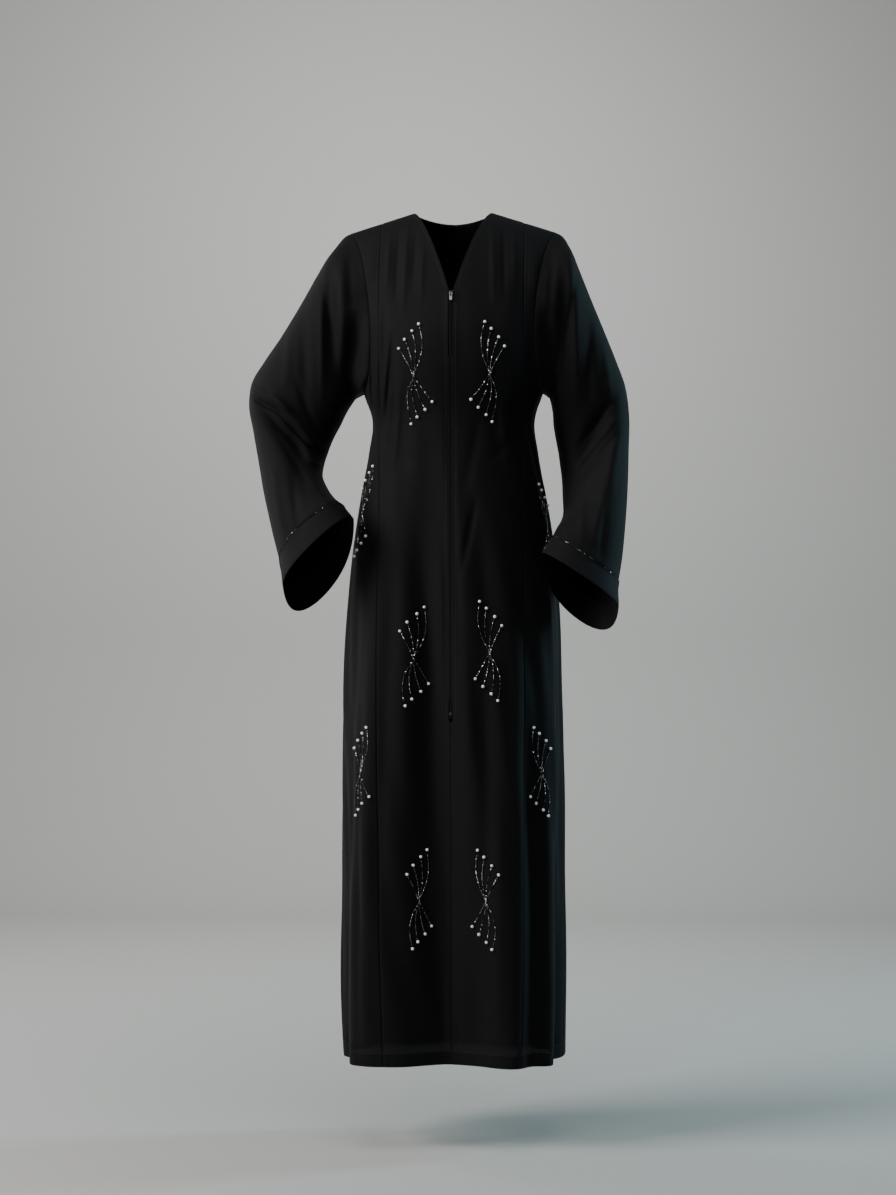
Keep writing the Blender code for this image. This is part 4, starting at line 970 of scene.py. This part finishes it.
tape_cloth, shader, place = material("zip_tape_weave", (0.0035, 0.0035, 0.0040), 0.78,
                                     specular_ior_level=0.1)
height_z = place.node("ShaderNodeSeparateXYZ", {0: place}, output=2)
rib = (height_z * (2 * math.pi / TAPE_RIB)).math("SINE")
bump = place.node("ShaderNodeBump", {"Height": rib, "Strength": 0.4, "Distance": 0.0002})
tape_cloth.node_tree.links.new(bump.socket, shader.inputs["Normal"])
coil_nylon = material("zip_coil_nylon", (0.003, 0.003, 0.0035), 0.50, specular_ior_level=0.2)[0]
for name, sign in SIDES:
    share = np.clip((TAPE_COLUMNS - ZIP_HALF_GAP) / (NECK_X - ZIP_HALF_GAP), 0, 1)
    top = v_z(share) - TAPE_BELOW_EDGE
    rise = np.linspace(0, 1, 130)[:, None]
    z = ZIP_END_Z + (top - ZIP_END_Z) * rise
    points, out = on_body(np.broadcast_to(TAPE_COLUMNS, z.shape), z, sign)
    points = points - out * TAPE_DEPTH
    uv = np.stack([np.broadcast_to(TAPE_COLUMNS, z.shape), z], axis=-1)
    tape = cloth_mesh("zip_tape_cloth_" + name, [points], [uv], flip=sign < 0,
                      thickness=TAPE_THICK)
    dress(tape, tape_cloth)
    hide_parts("zip_tape_" + name)

    tooth = turned_bead("tooth", ((-0.5, 0.25), (-0.38, 0.5), (0.38, 0.5), (0.5, 0.25)), 6)
    slider_middle = sum(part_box("zip_slider")[k][2] for k in (0, 1)) / 2
    first = ZIP_END_Z + ZIP_ENDS + (TOOTH_PITCH / 2 if sign > 0 else 0.0)
    z = np.arange(first, -V_DEPTH - ZIP_ENDS, TOOTH_PITCH)
    z = z[np.abs(z - slider_middle) > SLIDER_CLEAR]
    points, out = on_body(np.full_like(z, TOOTH_AWAY), z, sign)
    out_row = unit(out * np.array([0.0, 1.0, 1.0]))
    spots = points - out * (TAPE_DEPTH - TOOTH_OUT)
    turns = turned(np.tile([1.0, 0.0, 0.0], (len(z), 1)), out_row)
    repeated("zip_coil_" + name, tooth, spots, turns, TOOTH_SIZE, coil_nylon)

dark_metal = material("slider_dark_metal", (0.055, 0.055, 0.060), 0.34, 0.9)[0]
bright_metal = material("pull_bright_metal", (0.46, 0.46, 0.48), 0.26, 1.0)[0]
for name, finish in (("zip_slider", dark_metal), ("zip_stop", dark_metal),
                     ("zip_pull", bright_metal)):
    bpy.data.objects[name].material_slots[0].material = finish

# ==== Stitching ===========================================================================
# Lockstitch in black thread: along the V neck and the back of the neck, down both sides of the
# zip and round the hem.
STITCH, STITCH_PITCH, STITCH_REACH = (0.0024, 0.0005, 0.0005), 0.0031, 0.0005
thread = material("thread", (0.016, 0.016, 0.018), 0.55)[0]


def strung(points, out, pitch, reach, lift=0.0):
    """Spots and turns of small parts at even steps along a line of points. Each part points
    along the line over the reach to both sides of it, and stands off by the lift."""
    length = lengths_along(points)
    at = np.arange(pitch / 2, length[-1], pitch)
    along = at_lengths(points, length, at + reach) - at_lengths(points, length, at - reach)
    out_at = unit(at_lengths(out, length, at))
    return at_lengths(points, length, at) + out_at * lift, turned(along, out_at)


def sew(name, lines, depth=0.0001):
    """One object with the stitches of several lines of (points, outward directions)."""
    stitch = turned_bead("stitch", ((-0.5, 0.12), (-0.2, 0.5), (0.2, 0.5), (0.5, 0.12)), 5)
    done = [strung(points - out * depth, out, STITCH_PITCH, STITCH_REACH) for points, out in lines]
    spots, turns = np.concatenate(done, axis=1)
    repeated(name, stitch, spots, turns, STITCH, thread)


NECK_STITCH, ZIP_STITCH, HEM_BITE = 0.006, 0.0050, 0.0004
lines = []
for sign in (-1, 1):
    share = np.linspace(0.04, 1.0, 200)
    lines.append(on_body(v_x(share) + NECK_STITCH * 0.75, v_z(share) - NECK_STITCH * 0.5, sign))
    z = np.linspace(ZIP_END_Z, -V_DEPTH - ZIP_ENDS, 1200)
    lines.append(on_body(np.full_like(z, ZIP_HALF_GAP + ZIP_STITCH), z, sign))
x = np.linspace(-NECK_X, NECK_X, 160)
z = -BACK_NECK_DROP * (1 - (x / NECK_X) ** 2) - NECK_STITCH
lines.append(on_cloth(np.where(x > 0, 1, -1) * around_at(x, z, back=True), z))
sew("stitches_neck_and_zip", lines)

around = np.linspace(-1, 1, 3001)
sew("stitches_hem", [on_cloth(around, np.full_like(around, HEM_Z + HEM_TURN))], depth=HEM_BITE)

# ==== Beadwork ============================================================================
# Ten sheaves of four beaded strands, tied at the middle and tipped with pearls above and below:
# three down each centre front, and two on each side front. The strands are faceted glass beads,
# black and silver mixed, threaded and couched down. A row of the same beads covers each cuff
# seam, mostly black with a silver one here and there.
Sheaf = namedtuple("Sheaf", "around z sign size")
SHEAVES = [Sheaf(around_at(x, z), z, sign, 1.0) for x, z, sign in (
    (0.0600, -0.2810, -1), (0.0635, -0.2775, 1), (0.0630, -0.7400, -1), (0.0630, -0.7310, 1),
    (0.0585, -1.1360, -1), (0.0590, -1.1340, 1))]
SHEAVES += [Sheaf(0.270, -0.928, -1, 0.9), Sheaf(0.275, -0.928, 1, 0.9),
            Sheaf(0.365, -0.502, -1, 0.92), Sheaf(0.398, -0.526, 1, 0.85)]
# Each strand's ends from the knot, in metres outwards from the centre front and up, and how far
# it bows outwards between the knot and each end.
Strand = namedtuple("Strand", "top_out top_up top_bow low_out low_up low_bow")
STRANDS = (
    Strand(-0.0150, 0.0835, -0.0095, 0.0125, -0.0770, 0.0100),
    Strand(-0.0035, 0.0725, -0.0050, 0.0020, -0.0660, 0.0050),
    Strand(0.0100, 0.0590, -0.0030, -0.0120, -0.0540, 0.0025),
    Strand(0.0210, 0.0445, -0.0010, -0.0250, -0.0415, 0.0005),
)
TIE_SPREAD, TIE_PULL, TIE_LENGTH = 0.0006, 0.38, 0.13    # how the knot draws the strands in
KNOT_LENGTH, STRAND_LIFT, CROSSING_LIFT = 0.006, 0.0007, 0.0010
PEARL, PEARL_SINK = 0.0050, 0.0006
BEAD_PITCH, BEAD_SIZE = 0.0019, (0.0017, 0.0012, 0.0012)
CUFF_BEAD_PITCH, CUFF_BEAD_SIZE, CUFF_BEAD_LIFT = 0.0026, (0.0020, 0.0016, 0.0016), 0.0005
BEAD_REACH = 0.0008
SILVER_SHARE, CUFF_SILVER_SHARE = 0.46, 0.16
chance = np.random.default_rng(29)


def strand_points(sheaf, out, up):
    """Points on the cloth at distances outwards and up from a sheaf's knot."""
    z = sheaf.z + up * sheaf.size
    knot = np.full_like(z, sheaf.around)
    return on_cloth(sheaf.sign * (knot + metres_around(sheaf.size, knot, z) * out), z)


def thread_beads(name, groups, silver_share, size):
    """Two pieces, of silver and of black beads, divided at random."""
    spots, turns = np.concatenate(groups, axis=1)
    silver = chance.random(len(spots)) < silver_share
    turns[:, 0] += chance.uniform(0, 1, len(spots))
    for colour, finish, chosen in (("silver", silver_glass, silver),
                                   ("black", black_glass, ~silver)):
        bead = turned_bead("bead", ((-0.5, 0.30), (-0.22, 0.5), (0.22, 0.5), (0.5, 0.30)), 6)
        repeated(name + colour, bead, spots[chosen], turns[chosen], size, finish, smooth=False)


strand_groups, pearl_places = [], []
for sheaf in SHEAVES:
    for k, strand in enumerate(STRANDS):
        t = np.linspace(0, 1, 60)
        spread = (k - 1.5) * TIE_SPREAD
        tied = 1 - TIE_PULL * np.exp(-(t / TIE_LENGTH) ** 2)
        top_out, low_out = ((reach * t + bow * np.sin(math.pi * t)) * tied for reach, bow in (
            (strand.top_out, strand.top_bow), (strand.low_out, strand.low_bow)))
        out = np.concatenate([top_out[:0:-1], low_out])
        up = np.concatenate([strand.top_up * t[:0:-1], strand.low_up * t])
        near_knot = np.exp(-(up / KNOT_LENGTH) ** 2)
        out = out + spread * near_knot * np.where(up > 0, 1, -1)
        keep = slice(4, -4)
        points, normals = strand_points(sheaf, out[keep], up[keep])
        lift = STRAND_LIFT + CROSSING_LIFT * near_knot[keep] * (k % 2)
        points = points + normals * lift[:, None]
        strand_groups.append(strung(points, normals, BEAD_PITCH, BEAD_REACH))
        pearl_places.append(strand_points(sheaf, np.array([strand.top_out, strand.low_out]),
                                          np.array([strand.top_up, strand.low_up])))

silver_glass = material("silver_bead", (0.46, 0.47, 0.49), 0.20, 1.0)[0]
black_glass = material("black_bead", (0.004, 0.004, 0.005), 0.22, specular_ior_level=0.3)[0]
pearl_finish = material("pearl", (0.86, 0.84, 0.82), 0.16, coat_weight=0.7, coat_roughness=0.06,
                        subsurface_weight=0.15, subsurface_scale=0.002)[0]
thread_beads("strand_beads_", strand_groups, SILVER_SHARE, BEAD_SIZE)

pearl_spots, pearl_outs = np.concatenate(pearl_places, axis=1)
pearl_profile = [(-0.5 * math.cos(a), max(0.02, 0.5 * math.sin(a)))
                 for a in np.linspace(0, math.pi, 13)]
sizes = PEARL * chance.uniform(0.94, 1.06, (len(pearl_spots), 1)) * np.ones(3)
repeated("pearls", turned_bead("pearl", pearl_profile, 20),
         pearl_spots + pearl_outs * (PEARL / 2 - PEARL_SINK),
         turned(pearl_outs, np.tile([0.3, 0.2, 1.0], (len(pearl_outs), 1))), sizes, pearl_finish)

cuff_groups = []
for name, sign in SIDES:
    points, normals = cuff_lines[name]
    points, normals = np.vstack([points, points[:1]]), np.vstack([normals, normals[:1]])
    cuff_groups.append(strung(points, normals, CUFF_BEAD_PITCH, BEAD_REACH, CUFF_BEAD_LIFT))
thread_beads("cuff_beads_", cuff_groups, CUFF_SILVER_SHARE, CUFF_BEAD_SIZE)

# ==== Room ================================================================================
# A plain pale studio: a floor that runs up into a wall far behind, a big soft light from the
# wearer's right and a cooler one from behind the left.
FLOOR_Z = -1.547
CAMERA_DISTANCE, CAMERA_TURN = 4.30, math.radians(2.3)
CAMERA_SIDE, CAMERA_Z, CAMERA_LENS = -0.009, -0.641, 77.6


WALL_Y, CORNER_RADIUS, ROOM_HALF, ROOM_FRONT, ROOM_HIGH = 3.8, 0.8, 7.0, -6.0, 6.0

profile = [(ROOM_FRONT, 0.0), (WALL_Y - CORNER_RADIUS, 0.0)]
profile += [(WALL_Y - CORNER_RADIUS + CORNER_RADIUS * math.sin(a),
             CORNER_RADIUS - CORNER_RADIUS * math.cos(a))
            for a in np.linspace(0, math.pi / 2, 17)[1:]]
profile.append((WALL_Y, ROOM_HIGH))
sweep = bpy.data.meshes.new("studio")
sweep.from_pydata([(x, y, FLOOR_Z + z) for y, z in profile for x in (-ROOM_HALF, ROOM_HALF)], [],
                  [(2 * i, 2 * i + 1, 2 * i + 3, 2 * i + 2) for i in range(len(profile) - 1)])
sweep.shade_smooth()
sweep.materials.append(material("studio_paint", (0.40, 0.40, 0.385), 0.85)[0])
studio = added("studio", sweep)

world = bpy.data.worlds.new("studio_air")
world.use_nodes = True
world.node_tree.nodes["Background"].inputs[0].default_value = (0.78, 0.80, 0.84, 1.0)
world.node_tree.nodes["Background"].inputs[1].default_value = 0.075
bpy.context.scene.world = world


def soft_light(name, place, target, size, power, colour):
    data = bpy.data.lights.new(name, "AREA")
    data.shape = "RECTANGLE"
    data.size, data.size_y = size
    data.energy = power
    data.color = colour
    item = added(name, data)
    item.location = place
    back = np.array(place) - np.array(target)
    yaw = math.atan2(back[0], -back[1])
    pitch = math.atan2(math.hypot(back[0], back[1]), back[2])
    item.rotation_euler = (pitch, 0.0, yaw)


soft_light("key", (-2.9, -1.5, 1.0), (0, 0, -0.4), (1.7, 2.4), 185, (1.0, 0.985, 0.96))
soft_light("rim", (2.6, 0.9, 0.2), (0, 0, -0.6), (0.5, 2.2), 60, (0.50, 0.86, 1.0))
soft_light("rim_right", (-2.3, 1.5, 0.2), (0, 0, -0.7), (0.6, 2.0), 20, (1.0, 0.98, 0.96))
soft_light("fill", (0.6, -3.8, 0.6), (0, 0, -0.5), (1.6, 1.6), 9, (0.92, 0.97, 1.0))
soft_light("wall", (-0.3, 1.9, 0.9), (-0.3, 3.8, -0.6), (1.0, 0.6), 40, (1.0, 1.0, 0.985))
soft_light("floor", (0.0, -1.2, 2.4), (-0.2, 0.2, -1.5), (2.0, 1.6), 42, (1.0, 1.0, 0.99))

camera_data = bpy.data.cameras.new("camera")
camera_data.sensor_width = 36.0
camera_data.lens = CAMERA_LENS
camera_data.dof.use_dof = False
camera = added("camera", camera_data)
camera.location = (CAMERA_SIDE * math.cos(CAMERA_TURN) + CAMERA_DISTANCE * math.sin(CAMERA_TURN),
                   CAMERA_SIDE * math.sin(CAMERA_TURN) - CAMERA_DISTANCE * math.cos(CAMERA_TURN),
                   CAMERA_Z)
camera.rotation_euler = (math.pi / 2, 0.0, CAMERA_TURN)
bpy.context.scene.camera = camera
